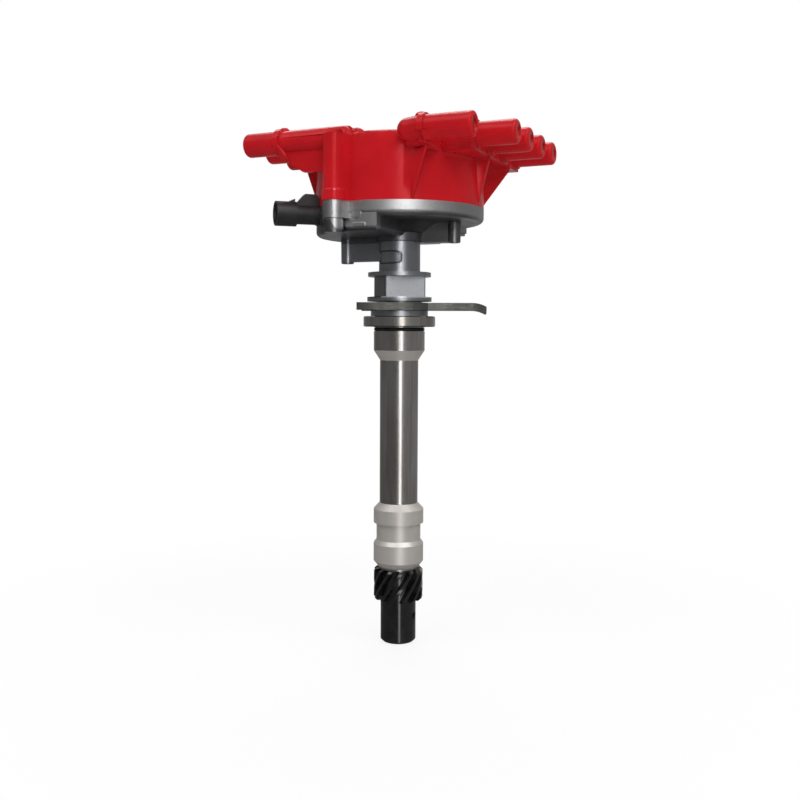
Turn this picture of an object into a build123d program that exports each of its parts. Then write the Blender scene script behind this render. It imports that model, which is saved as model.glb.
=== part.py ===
"""Ignition distributor: crab cap, Hall cam sensor, cast base and turned shaft housing.

Frame: +Z runs up the shaft axis, the origin is the centre of the collar's underside, which seats
on the engine, and +X points towards the right-hand row of cap towers. All sizes in millimetres."""

import os
from math import acos, cos, degrees, radians, sin

from build123d import *

os.makedirs("parts", exist_ok=True)

# ---- Clearances -------------------------------------------------------------------------------
running_clearance = 0.04  # radial, between the turning shaft and the bushing
press_clearance = 0.01  # radial, between pieces pressed or moulded together
moving_gap = 0.3  # between pieces that move past each other
spark_gap = 0.6  # radial, between the rotor's tip and the cap's electrodes

# ---- Shaft housing, from the seat on the engine ------------------------------------------------
collar_radius = 22.2
collar_height = 6.5
collar_edge = 0.6
pilot_radius = 15.8
pilot_length = 14.5
pilot_cone_length = 6.0
tube_radius = 11.9
tube_length = 88.9
band_radius = 15.6
upper_cone_length = 3.9
upper_band_length = 8.7
band_groove_depth = 1.8
band_groove_length = 10.6
lower_cone_length = 2.5
lower_band_length = 11.1
end_cone_length = 3.7
end_cone_depth = 3.0
spigot_radius = 10.6
spigot_length = 25.5  # above the collar, pressed into the base casting
seal_wire_radius = 1.1
seal_land = 0.4
seal_recess = 0.1  # below the pilot surface

# ---- Shaft, bushing and bearing ----------------------------------------------------------------
shaft_radius = 6.35
shaft_relief = 1.0  # radial room round the shaft between its bearings
shaft_head_length = 4.0  # above the rotor hub
bushing_wall = 1.65
bushing_length = 24.0
bearing_seat_step = 0.35  # from the shaft down to the bearing's bore
bearing_outer_radius = 12.0
bearing_width = 6.0
bearing_seat_depth = 8.0  # from the hub's top
ball_count = 11
ball_radius = 1.45
race_groove_depth = 0.55
ball_clearance = 0.02
cage_thickness = 0.66
shield_thickness = 0.3
retaining_ring_thickness = 0.9
retaining_ring_width = 2.1
retaining_groove_depth = 0.7

# ---- Base casting ------------------------------------------------------------------------------
joint_height = 71.3  # of the face that carries the cap, above the seat
shoulder_radius = 17.7
shoulder_height = 3.3
clamp_neck_radius = 14.0
lower_flange_radius = 19.9
lower_flange_height = 2.6
square_side = 25.8
square_height = 12.5
square_corner_radius = 17.6
square_angle = 41.2
upper_flange_radius = 19.4
upper_flange_height = 2.5
neck_radius = 12.7
hub_wall = 2.5  # round the bearing
hub_drop = 2.5  # below the pocket
hub_rise = 1.5  # above the dish's floor
dish_radius = 51.4
dish_depth = 8.3
dish_floor_thickness = 3.0
dish_wall = 4.5
dish_edge = 3.0
lip_wall = 1.0
lip_height = 1.5
pocket_step = 0.4  # the pocket's wall lies this far inside the dish's
pocket_side = 8.5
pocket_depth = 8.5
pocket_wall = 2.8
pocket_floor_thickness = 3.0
pocket_edge = 2.5
ear_reach = 5.2  # of the screws beyond the dish
ear_angle = -107.06
ear_radius = 6.5
ear_thickness = 9.8
ear_boss_radius = 5.5
front_ear_boss_length = 8.1
rear_ear_boss_length = 1.5
arm_thickness = 5.0
left_arm_boss = (-36.0, 0.0)
left_arm_depth = 15.0
right_arm_boss = (33.0, 7.0)
right_arm_depth = 12.0
arm_boss_radius = 3.8
arm_boss_overhang = 1.0
window_rise = 5.2  # above the upper flange
window_height = 7.4
window_depth = 0.6
window_end_angle = -59.0
window_sweep = 101.0

# ---- Cap ---------------------------------------------------------------------------------------
crown_rise = 39.0  # above the joint
crown_draft = 1.4
crown_edge = 1.5
crown_thickness = 6.5
cap_inner_draft = 1.6
tower_drop = 2.0  # of every tower's axis, below the crown
tower_radius = 7.0
tower_edge = 1.6
tower_pitch = 24.54
left_tower_start = -43.9
right_tower_start = -22.8
row_towers = 4
left_tip = -83.9
right_tip = 83.2
row_shoulder = 59.0
coil_tower_y = -51.3
coil_shoulder = 39.5
coil_tip = 67.3
coil_conduit_start = 26.5
collar_ring_rise = 1.2
collar_ring_length = 3.4
conduit_radius = 6.8
fin_rise = 1.9  # above the tower
fin_length = 8.0
fin_thickness = 2.2
wing_depth = 9.1  # below the towers' axis
wing_rise = 1.7
wing_inner = 20.0
left_wing_rear = 38.0
right_wing_front = -31.0
right_wing_rear = 57.0
left_wall_front = -51.6
left_wall_thickness = 2.6
left_wall_steps = ((-49.0, 13.3), (-41.0, 18.3))  # across, and below the towers' axis
column_radius = 7.0
column_drop = 1.8
counterbore_radius = 4.9
counterbore_rise = 7.7  # of its floor above the joint
crown_bump_at = (-7.0, -44.0)
crown_bump_radius = 4.2
crown_bump_rise = 5.2
gusset_thickness = 2.4
gusset_root = 1.0  # how far each starts outside the cap's inner wall
gusset_shank = 2.0  # upright edge at each one's top
wing_gussets = (  # angle, foot above the joint, reach
    (0, 2.2, 57.5),
    (34, 2.2, 69.0),
    (150, 5.7, 58.0),
    (200, 5.7, 58.0),
)
coil_gusset = (-58, 0.7, 62.0)

# ---- Ignition parts in the cap -----------------------------------------------------------------
electrode_radius = 2.5
electrode_circle_radius = 38.0
electrode_drop = 15.8  # below the cap's ceiling
electrode_boss_radius = 4.6
electrode_boss_drop = 6.8
lead_radius = 1.0
terminal_radius = 2.4
terminal_recess = 0.8
button_radius = 3.0
button_length = 6.6
button_clearance = 0.05
button_boss_radius = 6.2
button_boss_drop = 9.2
spring_room = 5.4
spring_wire_radius = 0.35
spring_turns = 4.5

# ---- Rotor and shutter -------------------------------------------------------------------------
rotor_hub_radius = 9.0
rotor_hub_gap = 0.8  # above the casting's hub
rotor_hub_height = 5.7
rotor_flange_radius = 22.0
rotor_flange_thickness = 2.0
shutter_radius = 30.0
shutter_thickness = 1.2
shutter_vane_height = 5.2
shutter_sweep = 180.0
rotor_base_thickness = 3.4
rotor_body_radius = 11.5
rotor_arm_width = 11.0
rotor_arm_depth = 7.0
rotor_arm_angle = -45.0
rotor_contact_width = 7.0
rotor_contact_thickness = 1.2
rotor_screw_circle = 16.5
rotor_screw_radius = 1.8
rotor_screw_head_radius = 3.4
rotor_screw_head_height = 2.2

# ---- Cam sensor, radial distances along its own direction ---------------------------------------
sensor_angle = -136.5
sensor_block_reach = 6.0  # inside the shutter
sensor_block_cover = 4.8  # outside the shutter
sensor_block_width = 16.0
sensor_stand_height = 3.0  # of the bosses that carry it, above the pocket's floor
sensor_top_gap = 1.8  # below the shutter's disc
sensor_slot_depth = 1.2  # below the shutter's vane
sensor_slot_clearance = 0.9
sensor_stem_width = 12.0
sensor_flange_gap = 1.0
sensor_flange_length = 8.0
sensor_flange_width = 32.0
sensor_flange_thickness = 3.0
sensor_screw_offset = 12.4
connector_rise = 5.7  # of its axis above the sensor's underside
connector_neck_radius = 5.9
connector_neck_gap = 0.5  # between the dish and the neck
connector_neck_length = 13.3
connector_shell_length = 12.2
connector_shell_radius = 7.25
connector_wall = 1.3
connector_socket_depth = 11.0
hump_rise = 11.7
hump_width = 7.0
hump_setback = 0.3  # from the neck's start
hump_length = 7.8
latch_rise = 8.8
latch_setback = 0.8  # from the shell's start
latch_length = 5.0
latch_width = 5.0
sensor_pin_radius = 0.75
sensor_pin_pitch = 3.4
sensor_pin_length = 6.5
sensor_pin_root = 2.0  # sunk into the socket's floor

# ---- Screws ------------------------------------------------------------------------------------
cap_screw_radius = 2.4
cap_screw_head_radius = 4.4
cap_screw_head_height = 4.0
cap_screw_bite = 12.0
cap_screw_end_gap = 1.0
sensor_screw_radius = 1.6
sensor_screw_head_radius = 3.0
sensor_screw_head_height = 2.0
hex_key_radius = 1.9
hex_key_depth = 1.6

# ---- Hold-down clamp ---------------------------------------------------------------------------
clamp_thickness = 4.5
clamp_play = 1.0  # of the plate in its neck, below the flange
clamp_angle = 22.0
clamp_tine_end = -24.8
clamp_half_width = 21.0
clamp_arm_half_width = 11.0
clamp_reach = 53.8
clamp_bolt_distance = 38.0
clamp_bolt_radius = 5.15
clamp_bend_start = 44.5
clamp_bend_drop = 2.2
clamp_bend_overrun = 1.2  # the bend is drawn this much further than the plate reaches

# ---- Drive gear --------------------------------------------------------------------------------
washer_thickness = 0.5
washer_count = 2
washer_radius = 12.4
gear_teeth = 13
gear_outer_radius = 15.4
gear_root_radius = 11.3
gear_length = 20.0
gear_lead = 133.0
gear_tooth_root_angle = 17.5
gear_tooth_tip_angle = 8.5
gear_edge = 1.3
gear_hub_radius = 11.1
gear_hub_length = 26.8
gear_hub_edge = 1.4
roll_pin_radius = 2.4
roll_pin_drop = 10.1  # below the teeth
roll_pin_wall = 0.9
roll_pin_angle = 24.0
drive_slot_width = 5.4
drive_slot_length = 13.6
drive_slot_depth = 9.7

# ---- Worked out from the sizes above: the shaft housing ------------------------------------------
tube_top = -pilot_length - pilot_cone_length
tube_bottom = tube_top - tube_length
upper_band_top = tube_bottom - upper_cone_length
upper_band_bottom = upper_band_top - upper_band_length
band_groove_radius = band_radius - band_groove_depth
band_groove_bottom = upper_band_bottom - band_groove_length
lower_band_top = band_groove_bottom - lower_cone_length
lower_band_bottom = lower_band_top - lower_band_length
housing_bottom = lower_band_bottom - end_cone_length
housing_end_radius = band_radius - end_cone_depth
spigot_top = collar_height + spigot_length
seal_circle_radius = pilot_radius - seal_recess - seal_wire_radius
seal_groove_radius = seal_circle_radius - seal_wire_radius - press_clearance
seal_groove_bottom = -seal_land - 2 * seal_wire_radius
bushing_radius = shaft_radius + bushing_wall
bushing_top = housing_bottom + bushing_length
shaft_bore_radius = shaft_radius + shaft_relief

# ---- The base casting ------------------------------------------------------------------------------
shoulder_top = collar_height + shoulder_height
clamp_bottom = shoulder_top + moving_gap
clamp_top = clamp_bottom + clamp_thickness
lower_flange_bottom = clamp_top + clamp_play
lower_flange_top = lower_flange_bottom + lower_flange_height
upper_flange_bottom = lower_flange_top + square_height
upper_flange_top = upper_flange_bottom + upper_flange_height
window_bottom = upper_flange_top + window_rise
window_top = window_bottom + window_height
dish_underside = joint_height - dish_depth
dish_floor = dish_underside + dish_floor_thickness
dish_inner_radius = dish_radius - dish_wall
lip_radius = dish_inner_radius + lip_wall
pocket_radius = dish_radius - pocket_step
pocket_underside = dish_underside - pocket_depth
pocket_floor = pocket_underside + pocket_floor_thickness
hub_radius = bearing_outer_radius + hub_wall
hub_bottom = pocket_underside - hub_drop
hub_top = dish_floor + hub_rise
ear_distance = dish_radius + ear_reach
ear_underside = joint_height - ear_thickness
front_ear_boss_bottom = ear_underside - front_ear_boss_length
rear_ear_boss_bottom = ear_underside - rear_ear_boss_length
left_arm_bottom = pocket_underside - left_arm_depth
right_arm_bottom = dish_underside - right_arm_depth
bearing_bottom = hub_top - bearing_seat_depth
bearing_top = bearing_bottom + bearing_width
bearing_middle = bearing_bottom + bearing_width / 2
bearing_bore_radius = shaft_radius - bearing_seat_step
ball_circle_radius = (bearing_bore_radius + bearing_outer_radius) / 2
column_places = [
    (ear_distance * cos(radians(ear_angle + turn)), ear_distance * sin(radians(ear_angle + turn)))
    for turn in (0, 180)
]

# ---- The cap, the rotor and the ignition parts -----------------------------------------------------
crown_height = joint_height + crown_rise
crown_radius = dish_radius - crown_draft
cap_ceiling = crown_height - crown_thickness
cap_inner_radius = lip_radius + moving_gap
cap_inner_top_radius = cap_inner_radius - cap_inner_draft
tower_height = crown_height - tower_drop
collar_ring_radius = tower_radius + collar_ring_rise
fin_height = tower_radius + fin_rise
wing_underside = tower_height - wing_depth
wing_top = tower_height + wing_rise
column_top = crown_height - column_drop
counterbore_floor = joint_height + counterbore_rise
crown_bump_top = crown_height + crown_bump_rise
left_tower_rows = [left_tower_start + n * tower_pitch for n in range(row_towers)]
right_tower_rows = [right_tower_start + n * tower_pitch for n in range(row_towers)]
left_electrode_angles = [-90, -135, 180, 135]
right_electrode_angles = [-45, 0, 45, 90]
electrode_bottom = cap_ceiling - electrode_drop
electrode_boss_bottom = cap_ceiling - electrode_boss_drop
button_boss_bottom = cap_ceiling - button_boss_drop
rotor_contact_bottom = electrode_bottom + electrode_radius
rotor_contact_top = rotor_contact_bottom + rotor_contact_thickness
rotor_arm_bottom = rotor_contact_bottom - rotor_arm_depth
rotor_tip = electrode_circle_radius - electrode_radius - spark_gap
rotor_hub_bottom = hub_top + rotor_hub_gap
rotor_flange_bottom = rotor_hub_bottom + rotor_hub_height
rotor_flange_top = rotor_flange_bottom + rotor_flange_thickness
rotor_base_top = rotor_flange_top + rotor_base_thickness
shaft_top = rotor_flange_top + shaft_head_length
shutter_disc_bottom = rotor_flange_bottom - shutter_thickness
shutter_bottom = shutter_disc_bottom - shutter_vane_height
shutter_inner_radius = shutter_radius - shutter_thickness
button_bottom = rotor_contact_top + moving_gap
button_top = button_bottom + button_length
button_bore_top = button_top + spring_room

# ---- The sensor, the clamp and the gear --------------------------------------------------------------
sensor_block_inner = shutter_radius - sensor_block_reach
sensor_block_outer = shutter_radius + sensor_block_cover
sensor_block_bottom = pocket_floor + sensor_stand_height
sensor_top = shutter_disc_bottom - sensor_top_gap
sensor_slot_floor = shutter_bottom - sensor_slot_depth
sensor_flange_start = sensor_block_outer + sensor_flange_gap
sensor_flange_end = sensor_flange_start + sensor_flange_length
sensor_screw_distance = (sensor_flange_start + sensor_flange_end) / 2
connector_height = sensor_block_bottom + connector_rise
connector_neck_start = dish_radius + connector_neck_gap
connector_shell_start = connector_neck_start + connector_neck_length
connector_shell_end = connector_shell_start + connector_shell_length
hump_start = connector_neck_start + hump_setback
hump_end = hump_start + hump_length
hump_top = connector_height + hump_rise
latch_start = connector_shell_start + latch_setback
latch_end = latch_start + latch_length
latch_top = connector_height + latch_rise
socket_floor = connector_shell_end - connector_socket_depth
gear_top = housing_bottom - washer_count * washer_thickness
gear_teeth_bottom = gear_top - gear_length
gear_bottom = gear_teeth_bottom - gear_hub_length
roll_pin_height = gear_teeth_bottom - roll_pin_drop
shaft_end = gear_bottom + drive_slot_depth


def polar(distance, angle):
    """The (x, y) place at a distance from the axis in a direction given in degrees."""
    return distance * cos(radians(angle)), distance * sin(radians(angle))


def outline(*points, plane=Plane.XZ):
    """A closed straight-sided outline: (radius, height) points on the default plane."""
    with BuildSketch(plane) as sketch:
        with BuildLine():
            Polyline(*points, close=True)
        make_face()
    return sketch.sketch


def radial_plane(angle):
    """The upright plane through the axis whose first direction points outwards at an angle."""
    outward = Vector(cos(radians(angle)), sin(radians(angle)), 0)
    return Plane(origin=(0, 0, 0), x_dir=outward, z_dir=(outward.Y, -outward.X, 0))


def post(radius, bottom, top, at=(0, 0), mode=Mode.ADD):
    """An upright cylinder between two heights."""
    with Locations((*at, bottom)):
        Cylinder(radius, top - bottom, align=(Align.CENTER, Align.CENTER, Align.MIN), mode=mode)


def bar(start, end, width, bottom, top, mode=Mode.ADD):
    """An upright wall of the given width between two (x, y) places."""
    run = Vector(*end) - Vector(*start)
    middle = (Vector(*start) + Vector(*end)) / 2
    turn = degrees(acos(run.X / run.length)) * (1 if run.Y >= 0 else -1)
    with Locations(Location((middle.X, middle.Y, bottom), (0, 0, turn))):
        Box(run.length, width, top - bottom, align=(Align.CENTER, Align.CENTER, Align.MIN), mode=mode)


def rod(radius, start, end, mode=Mode.ADD):
    """A round rod between two points in space."""
    run = Vector(*end) - Vector(*start)
    with BuildSketch(Plane(origin=start, z_dir=run)) as section:
        Circle(radius)
    extrude(section.sketch, amount=run.length, dir=run, mode=mode)


def save(part, name):
    """Labels a finished piece and writes it to its own file."""
    part.label = name
    export_step(part, f"parts/{name}.step")


# ---- Shaft housing: turned from bar, its spigot is pressed into the base casting ----------------
with BuildPart() as shaft_housing:
    revolve(
        outline(
            (0, spigot_top),
            (spigot_radius, spigot_top),
            (spigot_radius, collar_height),
            (collar_radius - collar_edge, collar_height),
            (collar_radius, collar_height - collar_edge),
            (collar_radius, collar_edge),
            (collar_radius - collar_edge, 0),
            (pilot_radius, 0),
            (pilot_radius, -seal_land),
            (seal_groove_radius, -seal_land),
            (seal_groove_radius, seal_groove_bottom),
            (pilot_radius, seal_groove_bottom),
            (pilot_radius, -pilot_length),
            (tube_radius, tube_top),
            (tube_radius, tube_bottom),
            (band_radius, upper_band_top),
            (band_radius, upper_band_bottom),
            (band_groove_radius, upper_band_bottom),
            (band_groove_radius, band_groove_bottom),
            (band_radius, lower_band_top),
            (band_radius, lower_band_bottom),
            (housing_end_radius, housing_bottom),
            (0, housing_bottom),
        )
    )
    post(shaft_bore_radius, housing_bottom, spigot_top, mode=Mode.SUBTRACT)
    post(bushing_radius + press_clearance, housing_bottom, bushing_top, mode=Mode.SUBTRACT)
save(shaft_housing.part, "shaft_housing")

with BuildPart() as collar_o_ring:
    with Locations((0, 0, -seal_land - seal_wire_radius)):
        Torus(seal_circle_radius, seal_wire_radius - press_clearance)
save(collar_o_ring.part, "collar_o_ring")

with BuildPart() as lower_bushing:
    post(bushing_radius, housing_bottom, bushing_top)
    post(shaft_radius + running_clearance, housing_bottom, bushing_top, mode=Mode.SUBTRACT)
save(lower_bushing.part, "lower_bushing")

with BuildPart() as thrust_washers:
    for number in range(washer_count):
        washer_top = housing_bottom - number * washer_thickness
        revolve(
            outline(
                (shaft_radius + moving_gap, washer_top - press_clearance),
                (washer_radius, washer_top - press_clearance),
                (washer_radius, washer_top - washer_thickness + press_clearance),
                (shaft_radius + moving_gap, washer_top - washer_thickness + press_clearance),
            )
        )
save(thrust_washers.part, "thrust_washers")

# ---- Base casting: shoulder, square and neck below, dish with the sensor pocket above ------------
def along_sensor(distance, offset=0, height=connector_height):
    """A point at a radial distance in the sensor's direction, offset sideways."""
    x, y = polar(distance, sensor_angle)
    dx, dy = polar(offset, sensor_angle + 90)
    return x + dx, y + dy, height


sensor_screw_places = [
    along_sensor(sensor_screw_distance, side * sensor_screw_offset)[:2] for side in (-1, 1)
]
pocket_reach = 2 * dish_radius
with BuildPart() as base_housing:
    with BuildSketch(Plane.XY.offset(pocket_underside)):
        Circle(pocket_radius)
        with Locations((pocket_side, 0)):
            Rectangle(pocket_reach, pocket_reach, align=(Align.MIN, Align.CENTER), mode=Mode.SUBTRACT)
    extrude(amount=dish_floor - pocket_underside)
    fillet(edges().group_by(Axis.Z)[0], pocket_edge)
    with BuildSketch(Plane.XZ):
        with BuildLine():
            Line((0, dish_underside), (dish_radius - dish_edge, dish_underside))
            CenterArc((dish_radius - dish_edge, dish_underside + dish_edge), dish_edge, -90, 90)
            Polyline(
                (dish_radius, dish_underside + dish_edge),
                (dish_radius, joint_height),
                (lip_radius, joint_height),
                (lip_radius, joint_height + lip_height),
                (0, joint_height + lip_height),
                (0, dish_underside),
            )
        make_face()
    revolve()
    revolve(
        outline(
            (0, collar_height),
            (shoulder_radius, collar_height),
            (shoulder_radius, shoulder_top),
            (clamp_neck_radius, shoulder_top),
            (clamp_neck_radius, lower_flange_bottom),
            (lower_flange_radius, lower_flange_bottom),
            (lower_flange_radius, lower_flange_top),
            (neck_radius, lower_flange_top),
            (neck_radius, upper_flange_bottom),
            (upper_flange_radius, upper_flange_bottom),
            (upper_flange_radius, upper_flange_top),
            (neck_radius, upper_flange_top),
            (neck_radius, hub_bottom),
            (hub_radius, hub_bottom),
            (hub_radius, dish_floor),
            (0, dish_floor),
        )
    )
    with BuildSketch(Plane.XY.offset(lower_flange_top).rotated((0, 0, square_angle))):
        Rectangle(square_side, square_side)
        Circle(square_corner_radius, mode=Mode.INTERSECT)
    extrude(amount=upper_flange_bottom - lower_flange_top)
    for place, boss_bottom in zip(column_places, (front_ear_boss_bottom, rear_ear_boss_bottom)):
        with BuildSketch(Plane.XY.offset(ear_underside)):
            with Locations(place):
                Circle(ear_radius)
            with Locations(Vector(*place) * (dish_inner_radius / ear_distance)):
                Circle(ear_radius)
            make_hull()
        extrude(amount=joint_height - ear_underside)
        post(ear_boss_radius, boss_bottom, ear_underside, at=place)
    bar((0, 0), left_arm_boss, arm_thickness, left_arm_bottom + arm_boss_overhang, pocket_underside)
    post(arm_boss_radius, left_arm_bottom, pocket_underside, at=left_arm_boss)
    bar((0, 0), right_arm_boss, arm_thickness, right_arm_bottom, dish_underside)
    post(arm_boss_radius, right_arm_bottom, dish_underside, at=right_arm_boss)
    post(dish_inner_radius, dish_floor, joint_height + lip_height, mode=Mode.SUBTRACT)
    with BuildSketch(Plane.XY.offset(pocket_floor)):
        Circle(dish_inner_radius)
        with Locations((pocket_side - pocket_wall, 0)):
            Rectangle(pocket_reach, pocket_reach, align=(Align.MIN, Align.CENTER), mode=Mode.SUBTRACT)
        Circle(hub_radius, mode=Mode.SUBTRACT)
    extrude(amount=dish_floor - pocket_floor, mode=Mode.SUBTRACT)
    post(hub_radius, dish_floor, hub_top)
    for boss_place in sensor_screw_places:
        post(2 * sensor_screw_radius, pocket_floor, sensor_block_bottom, at=boss_place)
        post(
            sensor_screw_radius + press_clearance,
            pocket_underside + pocket_wall / 2,
            sensor_block_bottom,
            at=boss_place,
            mode=Mode.SUBTRACT,
        )
    with BuildSketch(Plane.XY.offset(sensor_block_bottom).rotated((0, 0, sensor_angle))):
        with Locations((sensor_flange_end, 0)):
            Rectangle(
                dish_radius - sensor_flange_end + ear_radius,
                sensor_stem_width + 2 * press_clearance,
                align=(Align.MIN, Align.CENTER),
            )
    extrude(amount=joint_height + lip_height - sensor_block_bottom, mode=Mode.SUBTRACT)
    post(shaft_bore_radius, collar_height, hub_top, mode=Mode.SUBTRACT)
    post(spigot_radius + press_clearance, collar_height, spigot_top, mode=Mode.SUBTRACT)
    post(bearing_outer_radius + press_clearance, bearing_bottom, hub_top, mode=Mode.SUBTRACT)
    post(
        bearing_outer_radius + retaining_groove_depth,
        bearing_top,
        bearing_top + retaining_ring_thickness,
        mode=Mode.SUBTRACT,
    )
    for place in column_places:
        post(
            cap_screw_radius + press_clearance,
            joint_height - cap_screw_bite,
            joint_height,
            at=place,
            mode=Mode.SUBTRACT,
        )
    window_start = window_end_angle - window_sweep
    with BuildSketch(radial_plane(window_start)):
        with Locations((neck_radius, (window_bottom + window_top) / 2)):
            Rectangle(2 * window_depth, window_top - window_bottom)
    revolve(revolution_arc=window_sweep, mode=Mode.SUBTRACT)
save(base_housing.part, "base_housing")

# ---- Cap: one moulding with its towers, conduits, wings and screw columns ------------------------
def electrode_place(angle):
    """Where the electrode at an angle stands."""
    return polar(electrode_circle_radius, angle)


def tower_form(y, start, shoulder, tip):
    """Conduit with a rounded inner end, collar and tower, turned about the tower's own axis."""
    side = 1 if tip > 0 else -1
    begin, step, end = abs(start), abs(shoulder), abs(tip)
    plane = Plane(origin=(0, y, tower_height), x_dir=(side, 0, 0), z_dir=(0, -side, 0))
    with BuildSketch(plane) as profile:
        with BuildLine():
            CenterArc((begin, 0), conduit_radius, 180, -90)
            Polyline(
                (begin, conduit_radius),
                (step - collar_ring_length, conduit_radius),
                (step - collar_ring_length, collar_ring_radius),
                (step, collar_ring_radius),
                (step, tower_radius),
                (end - tower_edge, tower_radius),
            )
            CenterArc((end - tower_edge, tower_radius - tower_edge), tower_edge, 90, -90)
            Polyline((end, tower_radius - tower_edge), (end, 0), (begin - conduit_radius, 0))
        make_face()
    revolve(profile.sketch, axis=Axis((0, y, tower_height), (1, 0, 0)))
    fin = outline(
        (step, 0),
        (step, tower_radius),
        (step - collar_ring_length / 2, fin_height),
        (step - collar_ring_length, fin_height),
        (step - collar_ring_length - fin_length, conduit_radius / 2),
        (step - collar_ring_length - fin_length, 0),
        plane=plane,
    )
    extrude(fin, amount=fin_thickness / 2, both=True)


rows = [
    (electrode_place(angle), y, -row_shoulder, left_tip)
    for angle, y in zip(left_electrode_angles, left_tower_rows)
] + [
    (electrode_place(angle), y, row_shoulder, right_tip)
    for angle, y in zip(right_electrode_angles, right_tower_rows)
]
terminal_places = [(y, shoulder, tip) for _, y, shoulder, tip in rows]
terminal_places.append((coil_tower_y, coil_shoulder, coil_tip))
skirt_taper = (dish_radius - crown_radius) / (crown_height - joint_height)
lead_stop = lead_radius / 2  # the lead ends this far before its terminal
coil_lead_bend = (coil_shoulder - 3 * lead_radius, coil_tower_y, tower_height)

with BuildPart() as cap:
    with BuildSketch(Plane.XZ):
        with BuildLine():
            Polyline((0, crown_height), (0, joint_height), (dish_radius, joint_height))
            edge_start = dish_radius - skirt_taper * (crown_height - crown_edge - joint_height)
            Line((dish_radius, joint_height), (edge_start, crown_height - crown_edge))
            Polyline(
                (edge_start, crown_height - crown_edge),
                (edge_start - crown_edge, crown_height),
                (0, crown_height),
            )
        make_face()
    revolve()
    for place in column_places:
        with BuildSketch(Plane.XY.offset(joint_height)):
            with Locations(place):
                Circle(column_radius)
            with Locations(Vector(*place) * (cap_inner_radius / ear_distance)):
                Circle(column_radius)
            make_hull()
        extrude(amount=column_top - joint_height)
    with BuildSketch(Plane.XY.offset(wing_underside)):
        with BuildLine():
            Polyline(
                (-wing_inner, left_wall_front),
                (-row_shoulder + collar_ring_length / 2, left_wall_front),
                (-row_shoulder + collar_ring_length / 2, left_wing_rear),
                (-wing_inner, left_wing_rear),
                close=True,
            )
        make_face()
        with BuildLine():
            Polyline(
                (wing_inner, right_wing_front),
                (row_shoulder - collar_ring_length / 2, right_wing_front),
                (row_shoulder - collar_ring_length / 2, right_wing_rear),
                (wing_inner, right_wing_rear),
                close=True,
            )
        make_face()
        with BuildLine():
            Polyline(
                (coil_conduit_start, coil_tower_y),
                (coil_shoulder, coil_tower_y),
                (coil_shoulder, right_wing_front),
                (coil_conduit_start, right_wing_front),
                close=True,
            )
        make_face()
    extrude(amount=wing_top - wing_underside)
    left_wall = outline(
        (-row_shoulder + collar_ring_length / 2, wing_top),
        (-row_shoulder + collar_ring_length / 2, wing_underside),
        *[(across, tower_height - drop) for across, drop in left_wall_steps],
        (-wing_inner, tower_height - left_wall_steps[-1][1]),
        (-wing_inner, wing_top),
        plane=Plane.XZ.offset(-left_wall_front),
    )
    extrude(left_wall, amount=-left_wall_thickness)
    for place, y, shoulder, tip in rows:
        start = max(abs(place[0]), conduit_radius * 2)
        tower_form(y, start, shoulder, tip)
    tower_form(coil_tower_y, coil_conduit_start, coil_shoulder, coil_tip)
    post(crown_bump_radius, crown_height - crown_edge, crown_bump_top, at=crown_bump_at)
    coil_gusset_top = tower_height - conduit_radius / 2
    gussets = [(*coil_gusset, coil_gusset_top)] + [(*size, wing_underside) for size in wing_gussets]
    for angle, foot, reach, top in gussets:
        gusset = outline(
            (cap_inner_radius + gusset_root, joint_height + foot),
            (dish_radius - skirt_taper, joint_height + foot),
            (reach, top - gusset_shank),
            (reach, top),
            (cap_inner_radius + gusset_root, top),
            plane=radial_plane(angle),
        )
        extrude(gusset, amount=gusset_thickness / 2, both=True)
    revolve(
        outline(
            (0, joint_height),
            (cap_inner_radius, joint_height),
            (cap_inner_top_radius, cap_ceiling),
            (0, cap_ceiling),
        ),
        mode=Mode.SUBTRACT,
    )
    post(button_boss_radius, button_boss_bottom, crown_height - crown_edge)
    for place, *_ in rows:
        post(electrode_boss_radius, electrode_boss_bottom, crown_height - crown_edge, at=place)
    for place, y, shoulder, _ in rows:
        hole = electrode_radius + press_clearance
        post(hole, electrode_boss_bottom, tower_height + lead_radius, at=place, mode=Mode.SUBTRACT)
        rod(
            lead_radius + press_clearance,
            (*place, tower_height),
            (shoulder, y, tower_height),
            mode=Mode.SUBTRACT,
        )
    coil_channel = lead_radius + press_clearance
    rod(coil_channel, (0, 0, tower_height), coil_lead_bend, mode=Mode.SUBTRACT)
    with Locations(coil_lead_bend):
        Sphere(coil_channel, mode=Mode.SUBTRACT)
    coil_end = (coil_shoulder, coil_tower_y, tower_height)
    rod(coil_channel, coil_lead_bend, coil_end, mode=Mode.SUBTRACT)
    post(button_radius + button_clearance, button_boss_bottom, button_bore_top, mode=Mode.SUBTRACT)
    post(lead_radius + press_clearance, button_bore_top, tower_height, mode=Mode.SUBTRACT)
    for y, shoulder, tip in terminal_places:
        rod(
            terminal_radius + press_clearance,
            (shoulder, y, tower_height),
            (tip, y, tower_height),
            mode=Mode.SUBTRACT,
        )
    for place in column_places:
        post(counterbore_radius, counterbore_floor, crown_bump_top, at=place, mode=Mode.SUBTRACT)
        hole = cap_screw_radius + moving_gap / 2
        post(hole, joint_height, counterbore_floor, at=place, mode=Mode.SUBTRACT)
save(cap.part, "cap")

# ---- Metal parts of the ignition path -------------------------------------------------------------
with BuildPart() as cap_electrodes:
    for place, y, shoulder, _ in rows:
        post(electrode_radius, electrode_bottom, tower_height + lead_radius, at=place)
        reach = Vector(shoulder, y) - Vector(*place)
        lead_end = Vector(*place) + reach * (1 - lead_stop / reach.length)
        rod(lead_radius, (*place, tower_height), (lead_end.X, lead_end.Y, tower_height))
save(cap_electrodes.part, "cap_electrodes")

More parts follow.
